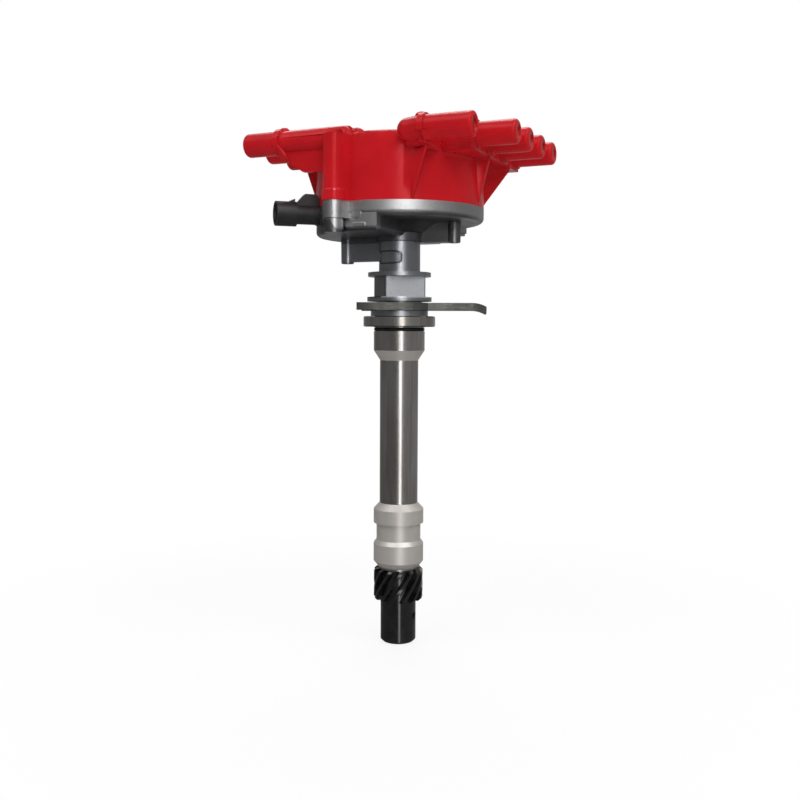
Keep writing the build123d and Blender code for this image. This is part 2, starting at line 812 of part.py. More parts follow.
with BuildPart() as coil_lead:
    post(lead_radius, button_bore_top, tower_height)
    rod(lead_radius, (0, 0, tower_height), coil_lead_bend)
    with Locations(coil_lead_bend):
        Sphere(lead_radius)
    rod(lead_radius, coil_lead_bend, (coil_shoulder - lead_stop, coil_tower_y, tower_height))
save(coil_lead.part, "coil_lead")

with BuildPart() as tower_terminals:
    for y, shoulder, tip in terminal_places:
        side = 1 if tip > 0 else -1
        rod(
            terminal_radius,
            (shoulder, y, tower_height),
            (tip - side * terminal_recess, y, tower_height),
        )
save(tower_terminals.part, "tower_terminals")

with BuildPart() as carbon_button:
    post(button_radius, button_bottom, button_top)
    fillet(edges().group_by(Axis.Z)[0], button_radius / 3)
save(carbon_button.part, "carbon_button")

with BuildPart() as button_spring:
    coil_radius = button_radius - 2 * spring_wire_radius
    coil_height = spring_room - 2 * spring_wire_radius
    coil_start = (0, 0, button_top + spring_wire_radius)
    with BuildLine():
        Helix(coil_height / spring_turns, coil_height, coil_radius, center=coil_start)
    with BuildSketch(Plane(origin=(coil_radius, 0, coil_start[2]), z_dir=(0, 1, 0))):
        Circle(spring_wire_radius)
    sweep(is_frenet=True)
save(button_spring.part, "button_spring")

with BuildPart() as cap_screws:
    for place in column_places:
        head_top = counterbore_floor + cap_screw_head_height
        screw_end = joint_height - cap_screw_bite + cap_screw_end_gap
        post(cap_screw_radius, screw_end, counterbore_floor, at=place)
        post(cap_screw_head_radius, counterbore_floor, head_top, at=place)
        with BuildSketch(Plane.XY.offset(head_top)):
            with Locations(place):
                RegularPolygon(hex_key_radius, 6)
        extrude(amount=-hex_key_depth, mode=Mode.SUBTRACT)
save(cap_screws.part, "cap_screws")

# ---- Turning parts ----------------------------------------------------------------------------------
with BuildPart() as distributor_shaft:
    revolve(
        outline(
            (0, shaft_end),
            (shaft_radius - collar_edge, shaft_end),
            (shaft_radius, shaft_end + collar_edge),
            (shaft_radius, bearing_bottom),
            (bearing_bore_radius, bearing_bottom),
            (bearing_bore_radius, shaft_top - collar_edge),
            (bearing_bore_radius - collar_edge, shaft_top),
            (0, shaft_top),
        )
    )
    with Locations((0, 0, roll_pin_height)):
        Cylinder(
            roll_pin_radius + press_clearance,
            2 * gear_hub_radius,
            rotation=(0, 90, roll_pin_angle),
            mode=Mode.SUBTRACT,
        )
save(distributor_shaft.part, "distributor_shaft")

with BuildPart() as bearing_outer_race:
    race_inner = ball_circle_radius + ball_radius - race_groove_depth
    revolve(
        outline(
            (race_inner, bearing_bottom),
            (bearing_outer_radius, bearing_bottom),
            (bearing_outer_radius, bearing_top),
            (race_inner, bearing_top),
        )
    )
    with Locations((0, 0, bearing_middle)):
        Torus(ball_circle_radius, ball_radius + ball_clearance, mode=Mode.SUBTRACT)
save(bearing_outer_race.part, "bearing_outer_race")

with BuildPart() as bearing_inner_race:
    race_outer = ball_circle_radius - ball_radius + race_groove_depth
    revolve(
        outline(
            (bearing_bore_radius + press_clearance, bearing_bottom),
            (race_outer, bearing_bottom),
            (race_outer, bearing_top),
            (bearing_bore_radius + press_clearance, bearing_top),
        )
    )
    with Locations((0, 0, bearing_middle)):
        Torus(ball_circle_radius, ball_radius + ball_clearance, mode=Mode.SUBTRACT)
save(bearing_inner_race.part, "bearing_inner_race")

with BuildPart() as bearing_balls:
    with Locations((0, 0, bearing_middle)):
        with PolarLocations(ball_circle_radius, ball_count):
            Sphere(ball_radius)
save(bearing_balls.part, "bearing_balls")

with BuildPart() as bearing_cage:
    cage_half_height = ball_radius + shield_thickness
    cage_wall = cage_thickness / 2
    revolve(
        outline(
            (ball_circle_radius - cage_wall, bearing_middle - cage_half_height),
            (ball_circle_radius + cage_wall, bearing_middle - cage_half_height),
            (ball_circle_radius + cage_wall, bearing_middle + cage_half_height),
            (ball_circle_radius - cage_wall, bearing_middle + cage_half_height),
        )
    )
    with Locations((0, 0, bearing_middle)):
        with PolarLocations(ball_circle_radius, ball_count):
            pocket_length = 4 * cage_wall
            Cylinder(
                ball_radius + ball_clearance, pocket_length, rotation=(0, 90, 0), mode=Mode.SUBTRACT
            )
save(bearing_cage.part, "bearing_cage")

with BuildPart() as bearing_shields:
    for shield_bottom in (bearing_bottom, bearing_top - shield_thickness):
        revolve(
            outline(
                (race_outer + moving_gap / 2, shield_bottom),
                (race_inner - press_clearance, shield_bottom),
                (race_inner - press_clearance, shield_bottom + shield_thickness),
                (race_outer + moving_gap / 2, shield_bottom + shield_thickness),
            )
        )
save(bearing_shields.part, "bearing_shields")

with BuildPart() as bearing_retaining_ring:
    with BuildSketch(Plane.XY.offset(bearing_top + press_clearance)):
        Circle(bearing_outer_radius + retaining_groove_depth - press_clearance)
        Circle(
            bearing_outer_radius + retaining_groove_depth - retaining_ring_width, mode=Mode.SUBTRACT
        )
        with Locations((-bearing_outer_radius, 0)):
            Rectangle(bearing_outer_radius, bearing_bore_radius, mode=Mode.SUBTRACT)
    extrude(amount=retaining_ring_thickness - 2 * press_clearance)
save(bearing_retaining_ring.part, "bearing_retaining_ring")

with BuildPart() as rotor_hub:
    post(rotor_hub_radius, rotor_hub_bottom, rotor_flange_top)
    post(rotor_flange_radius, rotor_flange_bottom, rotor_flange_top)
    post(bearing_bore_radius + press_clearance, rotor_hub_bottom, rotor_flange_top, mode=Mode.SUBTRACT)
    for turn in (0, 180):
        place = polar(rotor_screw_circle, rotor_arm_angle + 90 + turn)
        hole = rotor_screw_radius + press_clearance
        post(hole, rotor_flange_bottom, rotor_flange_top, at=place, mode=Mode.SUBTRACT)
save(rotor_hub.part, "rotor_hub")

with BuildPart() as shutter_wheel:
    vane_middle = (shutter_bottom + shutter_disc_bottom) / 2
    revolve(
        outline(
            (rotor_hub_radius + press_clearance, shutter_disc_bottom),
            (shutter_radius, shutter_disc_bottom),
            (shutter_radius, rotor_flange_bottom - press_clearance),
            (rotor_hub_radius + press_clearance, rotor_flange_bottom - press_clearance),
        )
    )
    with BuildSketch(radial_plane(sensor_angle)):
        with Locations((shutter_radius - shutter_thickness / 2, vane_middle)):
            Rectangle(shutter_thickness, shutter_vane_height)
    revolve(revolution_arc=shutter_sweep)
save(shutter_wheel.part, "shutter_wheel")

with BuildPart() as rotor:
    post(rotor_flange_radius, rotor_flange_top, rotor_base_top)
    post(rotor_body_radius, rotor_flange_top, rotor_contact_bottom)
    arm_tip = polar(rotor_tip - rotor_contact_thickness, rotor_arm_angle)
    bar((0, 0), arm_tip, rotor_arm_width, rotor_arm_bottom, rotor_contact_bottom)
    socket_radius = bearing_bore_radius + moving_gap
    post(socket_radius, rotor_flange_top, shaft_top + moving_gap, mode=Mode.SUBTRACT)
    for turn in (0, 180):
        place = polar(rotor_screw_circle, rotor_arm_angle + 90 + turn)
        hole = rotor_screw_radius + press_clearance
        post(hole, rotor_flange_top, rotor_base_top, at=place, mode=Mode.SUBTRACT)
save(rotor.part, "rotor")

with BuildPart() as rotor_contact:
    post(rotor_contact_width / 2, rotor_contact_bottom, rotor_contact_top)
    blade_tip = polar(rotor_tip, rotor_arm_angle)
    bar((0, 0), blade_tip, rotor_contact_width, rotor_contact_bottom, rotor_contact_top)
save(rotor_contact.part, "rotor_contact")

with BuildPart() as rotor_screws:
    for turn in (0, 180):
        place = polar(rotor_screw_circle, rotor_arm_angle + 90 + turn)
        head_top = rotor_base_top + rotor_screw_head_height
        post(rotor_screw_radius, rotor_flange_bottom, rotor_base_top, at=place)
        post(rotor_screw_head_radius, rotor_base_top, head_top, at=place)
        with BuildSketch(Plane.XY.offset(head_top)):
            with Locations(place):
                RegularPolygon(hex_key_radius, 6)
        extrude(amount=-hex_key_depth, mode=Mode.SUBTRACT)
save(rotor_screws.part, "rotor_screws")

# ---- Cam sensor: pickup block round the shutter, stem through the wall, connector outside --------
def sensor_block(inner, outer, width, bottom, top):
    """An upright block of the sensor moulding between two radial distances."""
    bar(polar(inner, sensor_angle), polar(outer, sensor_angle), width, bottom, top)


with BuildPart() as cam_sensor:
    sensor_block(
        sensor_block_inner, sensor_block_outer, sensor_block_width, sensor_block_bottom, sensor_top
    )
    sensor_block(
        sensor_block_outer, connector_neck_start, sensor_stem_width, sensor_block_bottom, sensor_top
    )
    sensor_block(
        sensor_flange_start,
        sensor_flange_end,
        sensor_flange_width,
        sensor_block_bottom,
        sensor_block_bottom + sensor_flange_thickness,
    )
    revolve(
        outline(
            (shutter_inner_radius - sensor_slot_clearance, sensor_slot_floor),
            (shutter_radius + sensor_slot_clearance, sensor_slot_floor),
            (shutter_radius + sensor_slot_clearance, sensor_top),
            (shutter_inner_radius - sensor_slot_clearance, sensor_top),
        ),
        mode=Mode.SUBTRACT,
    )
    rod(
        connector_neck_radius,
        along_sensor(connector_neck_start - press_clearance),
        along_sensor(connector_shell_start),
    )
    rod(
        connector_shell_radius,
        along_sensor(connector_shell_start),
        along_sensor(connector_shell_end),
    )
    hump = outline(
        (hump_start, connector_height),
        (hump_start, hump_top - connector_wall),
        (hump_start + connector_wall, hump_top),
        (hump_end, hump_top),
        (connector_shell_start, connector_height + connector_neck_radius),
        (connector_shell_start, connector_height),
        plane=radial_plane(sensor_angle),
    )
    extrude(hump, amount=hump_width / 2, both=True)
    latch = outline(
        (latch_start, connector_height),
        (latch_start, latch_top),
        (latch_end, connector_height + connector_shell_radius - connector_wall / 2),
        (latch_end, connector_height),
        plane=radial_plane(sensor_angle),
    )
    extrude(latch, amount=latch_width / 2, both=True)
    rod(
        connector_shell_radius - connector_wall,
        along_sensor(socket_floor),
        along_sensor(connector_shell_end),
        mode=Mode.SUBTRACT,
    )
    for place in sensor_screw_places:
        post(
            sensor_screw_radius + press_clearance,
            sensor_block_bottom,
            sensor_block_bottom + sensor_flange_thickness,
            at=place,
            mode=Mode.SUBTRACT,
        )
    for number in (-1, 0, 1):
        rod(
            sensor_pin_radius + press_clearance,
            along_sensor(socket_floor - sensor_pin_root, number * sensor_pin_pitch),
            along_sensor(socket_floor, number * sensor_pin_pitch),
            mode=Mode.SUBTRACT,
        )
save(cam_sensor.part, "cam_sensor")

with BuildPart() as sensor_pins:
    for number in (-1, 0, 1):
        pin_start = socket_floor - sensor_pin_root
        rod(
            sensor_pin_radius,
            along_sensor(pin_start, number * sensor_pin_pitch),
            along_sensor(pin_start + sensor_pin_length, number * sensor_pin_pitch),
        )
save(sensor_pins.part, "sensor_pins")

with BuildPart() as sensor_screws:
    flange_top = sensor_block_bottom + sensor_flange_thickness
    for place in sensor_screw_places:
        post(sensor_screw_radius, pocket_floor, flange_top, at=place)
        post(sensor_screw_head_radius, flange_top, flange_top + sensor_screw_head_height, at=place)
save(sensor_screws.part, "sensor_screws")

# ---- Hold-down clamp -----------------------------------------------------------------------------
with BuildPart() as hold_down_clamp:
    with BuildSketch(Plane.XY.offset(clamp_top)):
        Rectangle(-clamp_tine_end, 2 * clamp_half_width, align=(Align.MAX, Align.CENTER))
        Circle(clamp_half_width)
        Rectangle(
            clamp_reach - clamp_arm_half_width,
            2 * clamp_arm_half_width,
            align=(Align.MIN, Align.CENTER),
        )
        with Locations((clamp_reach - clamp_arm_half_width, 0)):
            Circle(clamp_arm_half_width)
        Circle(clamp_neck_radius + moving_gap, mode=Mode.SUBTRACT)
        Rectangle(
            -2 * clamp_tine_end,
            2 * (clamp_neck_radius + moving_gap),
            align=(Align.MAX, Align.CENTER),
            mode=Mode.SUBTRACT,
        )
        with Locations((clamp_bolt_distance, 0)):
            Circle(clamp_bolt_radius, mode=Mode.SUBTRACT)
    extrude(amount=-clamp_reach)
    bend_run = clamp_reach - clamp_bend_start
    bend_radius = (bend_run**2 + clamp_bend_drop**2) / (2 * clamp_bend_drop)
    bend_sweep = degrees(acos(1 - clamp_bend_drop / bend_radius)) * clamp_bend_overrun
    bend_centre = (clamp_bend_start, clamp_top - bend_radius)
    with BuildSketch(Plane.XZ):
        with BuildLine():
            upper = CenterArc(bend_centre, bend_radius, 90, -bend_sweep)
            lower = CenterArc(bend_centre, bend_radius - clamp_thickness, 90, -bend_sweep)
            Line(upper @ 1, lower @ 1)
            Polyline(
                upper @ 0,
                (clamp_tine_end, clamp_top),
                (clamp_tine_end, clamp_bottom),
                lower @ 0,
            )
        make_face()
    extrude(amount=clamp_reach, both=True, mode=Mode.INTERSECT)
save(hold_down_clamp.part.rotate(Axis.Z, clamp_angle), "hold_down_clamp")

# ---- Drive gear: right-hand helical teeth over a plain hub ----------------------------------------
with BuildSketch(Plane.XY.offset(gear_teeth_bottom)) as gear_section:
    Circle(gear_root_radius)
    for tooth in range(gear_teeth):
        middle = tooth * 360 / gear_teeth
        with BuildLine():
            Polyline(
                polar(gear_root_radius - 1, middle - gear_tooth_root_angle / 2),
                polar(gear_outer_radius, middle - gear_tooth_tip_angle / 2),
                polar(gear_outer_radius, middle + gear_tooth_tip_angle / 2),
                polar(gear_root_radius - 1, middle + gear_tooth_root_angle / 2),
                close=True,
            )
        make_face()
helical_teeth = Solid.extrude_linear_with_rotation(
    gear_section.sketch.faces()[0],
    center=(0, 0, gear_teeth_bottom),
    normal=(0, 0, gear_length),
    angle=360 * gear_length / gear_lead,
)
with BuildPart() as drive_gear:
    add(helical_teeth)
    revolve(
        outline(
            (0, gear_top),
            (gear_outer_radius - gear_edge, gear_top),
            (gear_outer_radius, gear_top - gear_edge),
            (gear_outer_radius, gear_teeth_bottom + gear_edge),
            (gear_outer_radius - gear_edge, gear_teeth_bottom),
            (0, gear_teeth_bottom),
        ),
        mode=Mode.INTERSECT,
    )
    revolve(
        outline(
            (0, gear_teeth_bottom),
            (gear_hub_radius, gear_teeth_bottom),
            (gear_hub_radius, gear_bottom + gear_hub_edge),
            (gear_hub_radius - gear_hub_edge, gear_bottom),
            (0, gear_bottom),
        )
    )
    post(shaft_radius + press_clearance, shaft_end, gear_top, mode=Mode.SUBTRACT)
    with BuildSketch(Plane.XY.offset(gear_bottom)):
        SlotOverall(drive_slot_length, drive_slot_width)
    extrude(amount=shaft_end - gear_bottom, mode=Mode.SUBTRACT)
    with Locations((0, 0, roll_pin_height)):
        Cylinder(
            roll_pin_radius + press_clearance,
            2 * gear_hub_radius,
            rotation=(0, 90, roll_pin_angle),
            mode=Mode.SUBTRACT,
        )
save(drive_gear.part, "drive_gear")

with BuildPart() as gear_roll_pin:
    pin_length = 2 * (gear_hub_radius - gear_hub_edge / 2)
    with Locations((0, 0, roll_pin_height)):
        Cylinder(roll_pin_radius, pin_length, rotation=(0, 90, roll_pin_angle))
        Cylinder(
            roll_pin_radius - roll_pin_wall,
            pin_length,
            rotation=(0, 90, roll_pin_angle),
            mode=Mode.SUBTRACT,
        )
save(gear_roll_pin.part, "gear_roll_pin")
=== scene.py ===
"""Ignition distributor: finishes, fine detail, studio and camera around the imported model.

Everything is in metres in the model's own frame: +Z runs up the shaft axis, the origin is the
centre of the collar's underside, and +X points towards the right-hand row of cap towers."""

from math import atan2, cos, hypot, pi, radians, sin

import bmesh
import bpy
from bpy.props import FloatProperty, FloatVectorProperty, PointerProperty
from mathutils import Matrix, Vector
from mathutils.bvhtree import BVHTree


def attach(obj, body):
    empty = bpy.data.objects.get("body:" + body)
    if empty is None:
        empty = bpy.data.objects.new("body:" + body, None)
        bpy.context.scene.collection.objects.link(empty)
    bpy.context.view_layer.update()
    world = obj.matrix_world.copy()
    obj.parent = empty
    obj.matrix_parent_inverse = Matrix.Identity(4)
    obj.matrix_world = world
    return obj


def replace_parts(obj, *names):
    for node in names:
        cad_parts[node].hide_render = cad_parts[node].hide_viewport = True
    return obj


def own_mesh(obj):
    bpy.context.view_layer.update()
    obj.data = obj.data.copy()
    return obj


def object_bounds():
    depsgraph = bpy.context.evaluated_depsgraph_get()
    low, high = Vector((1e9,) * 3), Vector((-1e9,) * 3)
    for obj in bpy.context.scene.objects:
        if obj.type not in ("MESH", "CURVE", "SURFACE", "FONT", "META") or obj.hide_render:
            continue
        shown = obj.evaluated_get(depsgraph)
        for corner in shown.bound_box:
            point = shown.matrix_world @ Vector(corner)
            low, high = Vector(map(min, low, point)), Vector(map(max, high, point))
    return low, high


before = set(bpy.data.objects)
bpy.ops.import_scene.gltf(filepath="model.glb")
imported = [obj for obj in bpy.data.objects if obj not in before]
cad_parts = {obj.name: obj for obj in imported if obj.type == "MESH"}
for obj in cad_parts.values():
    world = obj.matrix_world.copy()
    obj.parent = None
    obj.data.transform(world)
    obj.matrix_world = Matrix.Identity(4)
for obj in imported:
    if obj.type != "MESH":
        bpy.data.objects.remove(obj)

bl_info = {
    "name": "Ignition Distributor",
    "version": (1, 0, 0),
    "blender": (4, 5, 0),
    "location": "3D View > Sidebar > Distributor",
    "description": "Finishes, fine detail and studio for an ignition distributor",
    "category": "Object",
}

MM = 0.001
WHITE = (1.0, 1.0, 1.0, 1.0)
CAD_BOX = [list(corner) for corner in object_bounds()]

# Measures that finishes and pieces share, in millimetres and radians.
FOOT_SHOULDER, FOOT_TOP = 76.6, 77.9  # the rounded edge of a screw column's foot
PANEL_MIDDLE, PANEL_HALF_TURN = radians(-104), radians(45)  # the shallow panel on the neck
PANEL_HEIGHT, PANEL_HALF_HEIGHT = 42.1, 3.9


# ---- Shader maths ------------------------------------------------------------------------------
class Value:
    """An output of a node. Python's arithmetic on it adds Math nodes to its tree."""

    def __init__(self, finish, socket):
        self.finish, self.socket = finish, socket

    def __add__(self, other):
        return self.finish.math("ADD", self, other)

    def __radd__(self, other):
        return self.finish.math("ADD", other, self)

    def __sub__(self, other):
        return self.finish.math("SUBTRACT", self, other)

    def __rsub__(self, other):
        return self.finish.math("SUBTRACT", other, self)

    def __mul__(self, other):
        return self.finish.math("MULTIPLY", self, other)

    def __rmul__(self, other):
        return self.finish.math("MULTIPLY", other, self)

    def __pow__(self, other):
        return self.finish.math("POWER", self, other)

    def out(self, name):
        """Another output of the same node."""
        return Value(self.finish, self.socket.node.outputs[name])


class Finish:
    """A shader tree that is being written: a material's, or the world's."""

    def __init__(self, owner):
        owner.use_nodes = True
        self.tree = owner.node_tree
        self.tree.nodes.clear()

    def node(self, kind, settings=None, inputs=None, output=0):
        """Adds a node, sets its settings first and then its sockets, and gives one output."""
        made = self.tree.nodes.new(kind)
        for name, value in (settings or {}).items():
            setattr(made, name, value)
        for name, value in (inputs or {}).items():
            if isinstance(value, Value):
                self.tree.links.new(value.socket, made.inputs[name])
            else:
                made.inputs[name].default_value = value
        return Value(self, made.outputs[output]) if made.outputs else None

    def math(self, operation, *values):
        """A Math node on one or two values."""
        return self.node("ShaderNodeMath", {"operation": operation}, dict(enumerate(values)))

    def place(self):
        """The place on the piece, in metres, as a vector."""
        return self.node("ShaderNodeTexCoord", output="Object")

    def axes(self, vector):
        """A vector's three numbers."""
        split = self.node("ShaderNodeSeparateXYZ", None, {0: vector})
        return split, split.out("Y"), split.out("Z")

    @staticmethod
    def from_axis(x, y):
        """How far a place is from the shaft axis."""
        return (x * x + y * y) ** 0.5

    def stretched(self, vector, factors):
        """A vector with each of its numbers multiplied."""
        inputs = {0: vector, 1: factors}
        return self.node("ShaderNodeVectorMath", {"operation": "MULTIPLY"}, inputs)

    def noise(self, vector, scale, detail, rough=0.55):
        """Smooth noise of about one grain per 1 / scale metres."""
        inputs = {"Vector": vector, "Scale": scale, "Detail": detail, "Roughness": rough}
        return self.node("ShaderNodeTexNoise", None, inputs)

    def step(self, value, start, end, low=0.0, high=1.0):
        """A smooth rise of a number from low to high as the value goes from start to end."""
        inputs = {0: value, 1: start, 2: end, 3: low, 4: high}
        return self.node("ShaderNodeMapRange", {"interpolation_type": "SMOOTHSTEP"}, inputs)

    def between(self, value, low, high, soft):
        """1 where the value lies between low and high, with soft edges, and 0 elsewhere."""
        above = self.step(value, low - soft, low + soft)
        return above * self.step(value, high - soft, high + soft, 1.0, 0.0)

    def mixed(self, factor, first, second):
        """A colour between two colours, each either plain or from a node."""
        inputs = {0: factor}
        for number, colour in ((6, first), (7, second)):
            inputs[number] = colour if isinstance(colour, Value) else (*colour, 1.0)
        return self.node("ShaderNodeMix", {"data_type": "RGBA"}, inputs, output=2)

    def bump(self, height, depth, strength, below=None):
        """A normal from a height of 0 to 1 that stands for a depth, in metres, over one below."""
        inputs = {"Height": height, "Distance": depth, "Strength": strength}
        if below:
            inputs["Normal"] = below
        return self.node("ShaderNodeBump", None, inputs)

    def surface(self, **inputs):
        """The closing shader: plain numbers and colours go on its own sockets."""
        named = {}
        for name, value in inputs.items():
            named[name.replace("_", " ")] = (*value, 1.0) if isinstance(value, tuple) else value
        shader = self.node("ShaderNodeBsdfPrincipled", None, named)
        self.node("ShaderNodeOutputMaterial", None, {"Surface": shader})

    def mixed_shader(self, factor, first, second):
        """The first shader where the factor is 0, the second where it is 1."""
        return self.node("ShaderNodeMixShader", None, {0: factor, 1: first, 2: second})


FINISHES = {}


def finish_for(slot):
    """Registers the function that writes the finish of one of the record's material slots."""

    def keep(write):
        FINISHES[slot] = write
        return write

    return keep


def finished_material(slot):
    """The material of a slot, written when it is first asked for."""
    name = slot.replace("_", " ").capitalize()
    material = bpy.data.materials.get(name)
    if material is None:
        material = bpy.data.materials.new(name)
        FINISHES[slot](Finish(material))
    return material


def colours():
    """The colours that a user would change."""
    return bpy.context.scene.distributor_colours


# ---- Finishes ----------------------------------------------------------------------------------
@finish_for("red_cap")
def red_cap(f):
    """Glossy moulded red plastic with a soft orange-peel skin and faint handling marks."""
    columns_start = (0.052, 0.053)
    place = f.place()
    cloudy = f.noise(place, 38.0, 2.0)
    skin = f.noise(place, 420.0, 2.0)
    scuffs = f.step(f.noise(f.stretched(place, (1.0, 1.0, 0.16)), 900.0, 4.0), 0.62, 0.8)
    base = f.mixed(f.step(cloudy, 0.3, 0.7), colours().cap, colours().cap_shade)
    x, y, z = f.axes(place)
    foot = f.between(z, FOOT_SHOULDER * MM, (FOOT_TOP + 0.2) * MM, 0.0002)
    foot = foot * f.step(f.from_axis(x, y), *columns_start)
    f.surface(
        Base_Color=f.mixed(scuffs * 0.1, base, (0.62, 0.1, 0.09)),
        Roughness=0.24 + 0.1 * cloudy + 0.14 * scuffs,
        Coat_Weight=0.03 + 0.9 * foot,
        Coat_Roughness=0.12,
        Specular_IOR_Level=0.42,
        Specular_Tint=(1.0, 0.22, 0.24),
        Normal=f.bump(skin, 0.00006, 0.35),
    )


def painted_casting_shade(f, turn, radius, z):
    """Painted shade for the hollows round the hub and the lower part of the dish's wall."""
    wall_start = (0.0445, 0.0475)
    hollow_foot, hollow_top = 0.0515, 0.0632
    low_start, left_top, right_top = (0.0467, 0.0483), 0.0605, 0.0552
    # Painted shade: masks for the hollows round the hub and for the dish's lower wall.
    hub_hollow_shade = f.between(z, hollow_foot, hollow_top, 0.0004) * f.step(radius, *wall_start, 1.0, 0.0)
    top = f.step(turn, radians(-106), radians(-102), left_top, right_top)
    low = f.step(z, *low_start) * f.step(z - top, -0.0008, 0.0008, 1.0, 0.0)
    return hub_hollow_shade * 0.6 + low * f.step(radius, *wall_start) * 0.72


def panel_groove_shade(f, turn, radius, z):
    """Painted shade: a dark line round the shallow panel on the casting's neck, along its groove.
    """
    neck_foot, neck_top, neck_wall = 0.037, 0.047, (0.0135, 0.0145)
    along = ((turn - PANEL_MIDDLE) * (1 / PANEL_HALF_TURN)) ** 2
    up = ((z - PANEL_HEIGHT * MM) * (1 / (PANEL_HALF_HEIGHT * MM))) ** 2
    outline = (along**2 + up**2) ** 0.25
    groove_shade = f.between(outline, 0.86, 1.04, 0.05) * f.between(z, neck_foot, neck_top, 0.0002)
    return groove_shade * f.step(radius, *neck_wall, 1.0, 0.0)


def square_flats_lit_and_shaded(f, x, y, z):
    """The square's right flat, partly painted light and partly a less metallic finish, and its
    left flat in painted shade.
    """
    facing, flat = radians(-48.8), 0.0130
    start, end = flat - 0.0004, flat - 0.0002
    square = f.between(z, 0.0175, 0.0305, 0.0003)
    bright = f.step(x * cos(facing) + y * sin(facing), start, end) * square
    shaded = f.step(x * sin(facing) - y * cos(facing), start, end) * square
    return bright, shaded


@finish_for("cast_aluminium")
def cast_aluminium(f):
    """Die-cast aluminium: fine blasted grain, cloudy flow marks and lighter rubbed rims."""
    rim, neck_end = (0.0508, 0.0516), (0.052, 0.058)
    place = f.place()
    x, y, z = f.axes(place)
    radius, turn = f.from_axis(x, y), f.math("ARCTAN2", y, x)
    grain = f.noise(place, 2600.0, 3.0, 0.6)
    pits = f.step(f.noise(place, 900.0, 2.0), 0.56, 0.72)
    cloud = f.noise(place, 70.0, 4.0)
    flow = f.noise(f.stretched(place, (1.0, 1.0, 0.25)), 160.0, 3.0)
    base = f.mixed(f.step(cloud, 0.32, 0.68), colours().casting, colours().casting_shade)
    base = f.mixed(f.step(flow, 0.45, 0.8) * 0.35, base, (0.33, 0.315, 0.295))
    rubbed = f.between(radius, *rim, 0.0004) * f.step(cloud, 0.35, 0.6)
    base = f.mixed(rubbed * 0.4, base, (0.66, 0.66, 0.66))
    # The neck's darker blue-grey is partly its own tone and partly painted shade from the dish
    # above it.
    neck = f.step(z, *neck_end, 1.0, 0.0)
    base = f.mixed(neck * 0.7, base, colours().neck)
    # Painted shade: near-black in the hollows round the hub and on the dish's lower wall.
    base = f.mixed(painted_casting_shade(f, turn, radius, z), base, (0.07, 0.07, 0.074))
    # Painted shade: a dark line along the groove round the neck's panel.
    base = f.mixed(panel_groove_shade(f, turn, radius, z) * 0.8, base, (0.04, 0.04, 0.045))
    # Painted light on the square's right flat and painted shade on its left flat.
    bright, shaded = square_flats_lit_and_shaded(f, x, y, z)
    base = f.mixed(shaded * 0.8, base, (0.05, 0.05, 0.056))
    base = f.mixed(bright, base, (0.66, 0.68, 0.72))
    f.surface(
        Base_Color=f.mixed(pits * 0.22, base, (0.12, 0.12, 0.125)),
        Metallic=1.0 - 0.06 * neck - 0.3 * bright,
        Roughness=0.38 + 0.1 * cloud + 0.08 * pits - 0.11 * neck,
        Normal=f.bump(pits, 0.00005, 0.25, f.bump(grain, 0.00008, 0.5)),
    )


@finish_for("billet_aluminium")
def billet_aluminium(f):
    """Turned aluminium: polished tube and collar, satin cone and bands, fine tool rings."""
    cone_foot, cone_top, bands_top = -0.0206, -0.0145, (-0.1096, -0.1092)
    place = f.place()
    height = f.axes(place)[2]
    rings = f.noise(f.stretched(place, (0.6, 0.6, 90.0)), 90.0, 4.0, 0.7)
    stain = f.noise(f.stretched(place, (1.0, 1.0, 0.12)), 130.0, 4.0)
    drawn = f.noise(f.stretched(place, (1.0, 1.0, 0.015)), 900.0, 3.0)
    nicks = f.step(f.noise(f.stretched(place, (1.0, 1.0, 0.4)), 1500.0, 2.0), 0.66, 0.76)
    cone = f.between(height, cone_foot, cone_top, 0.00015)
    bands = f.step(height, *bands_top, 1.0, 0.0)
    satin = f.math("MAXIMUM", cone, bands)
    base = f.mixed(f.step(stain, 0.3, 0.72), colours().billet, colours().billet_shade)
    base = f.mixed(f.step(drawn, 0.52, 0.72) * 0.35 * (1 - satin), base, (0.27, 0.235, 0.2))
    base = f.mixed(satin * 0.8, base, colours().satin)
    f.surface(
        Base_Color=f.mixed(nicks * 0.25, base, (0.9, 0.9, 0.9)),
        Metallic=1.0 - 0.4 * satin,
        Roughness=0.15 + 0.2 * satin + 0.1 * drawn + 0.06 * rings,
        Normal=f.bump(rings, 0.000012, 0.3, f.bump(drawn, 0.00001, 0.12)),
    )


@finish_for("gear_black")
def gear_black(f):
    """Hardened gear with a black gloss coating, a little thinner where it is handled."""
    place = f.place()
    cloud = f.noise(place, 160.0, 3.0)
    streak = f.noise(f.stretched(place, (1.0, 1.0, 30.0)), 60.0, 3.0)
    base = f.mixed(f.step(cloud, 0.4, 0.75), (0.006, 0.006, 0.006), (0.014, 0.014, 0.014))
    f.surface(
        Base_Color=base,
        Roughness=0.13 + 0.1 * cloud,
        Coat_Weight=0.5,
        Coat_Roughness=0.08,
        Specular_IOR_Level=0.6,
        Normal=f.bump(streak, 0.00001, 0.2),
    )


@finish_for("sensor_black")
def sensor_black(f):
    """Satin black glass-filled plastic with a fine spark-eroded texture."""
    place = f.place()
    grain = f.noise(place, 1800.0, 2.0)
    cloud = f.noise(place, 90.0, 3.0)
    base = f.mixed(f.step(cloud, 0.35, 0.7), (0.012, 0.013, 0.014), (0.025, 0.026, 0.027))
    f.surface(
        Base_Color=base,
        Roughness=0.34 + 0.18 * cloud,
        Normal=f.bump(grain, 0.00006, 0.4),
    )


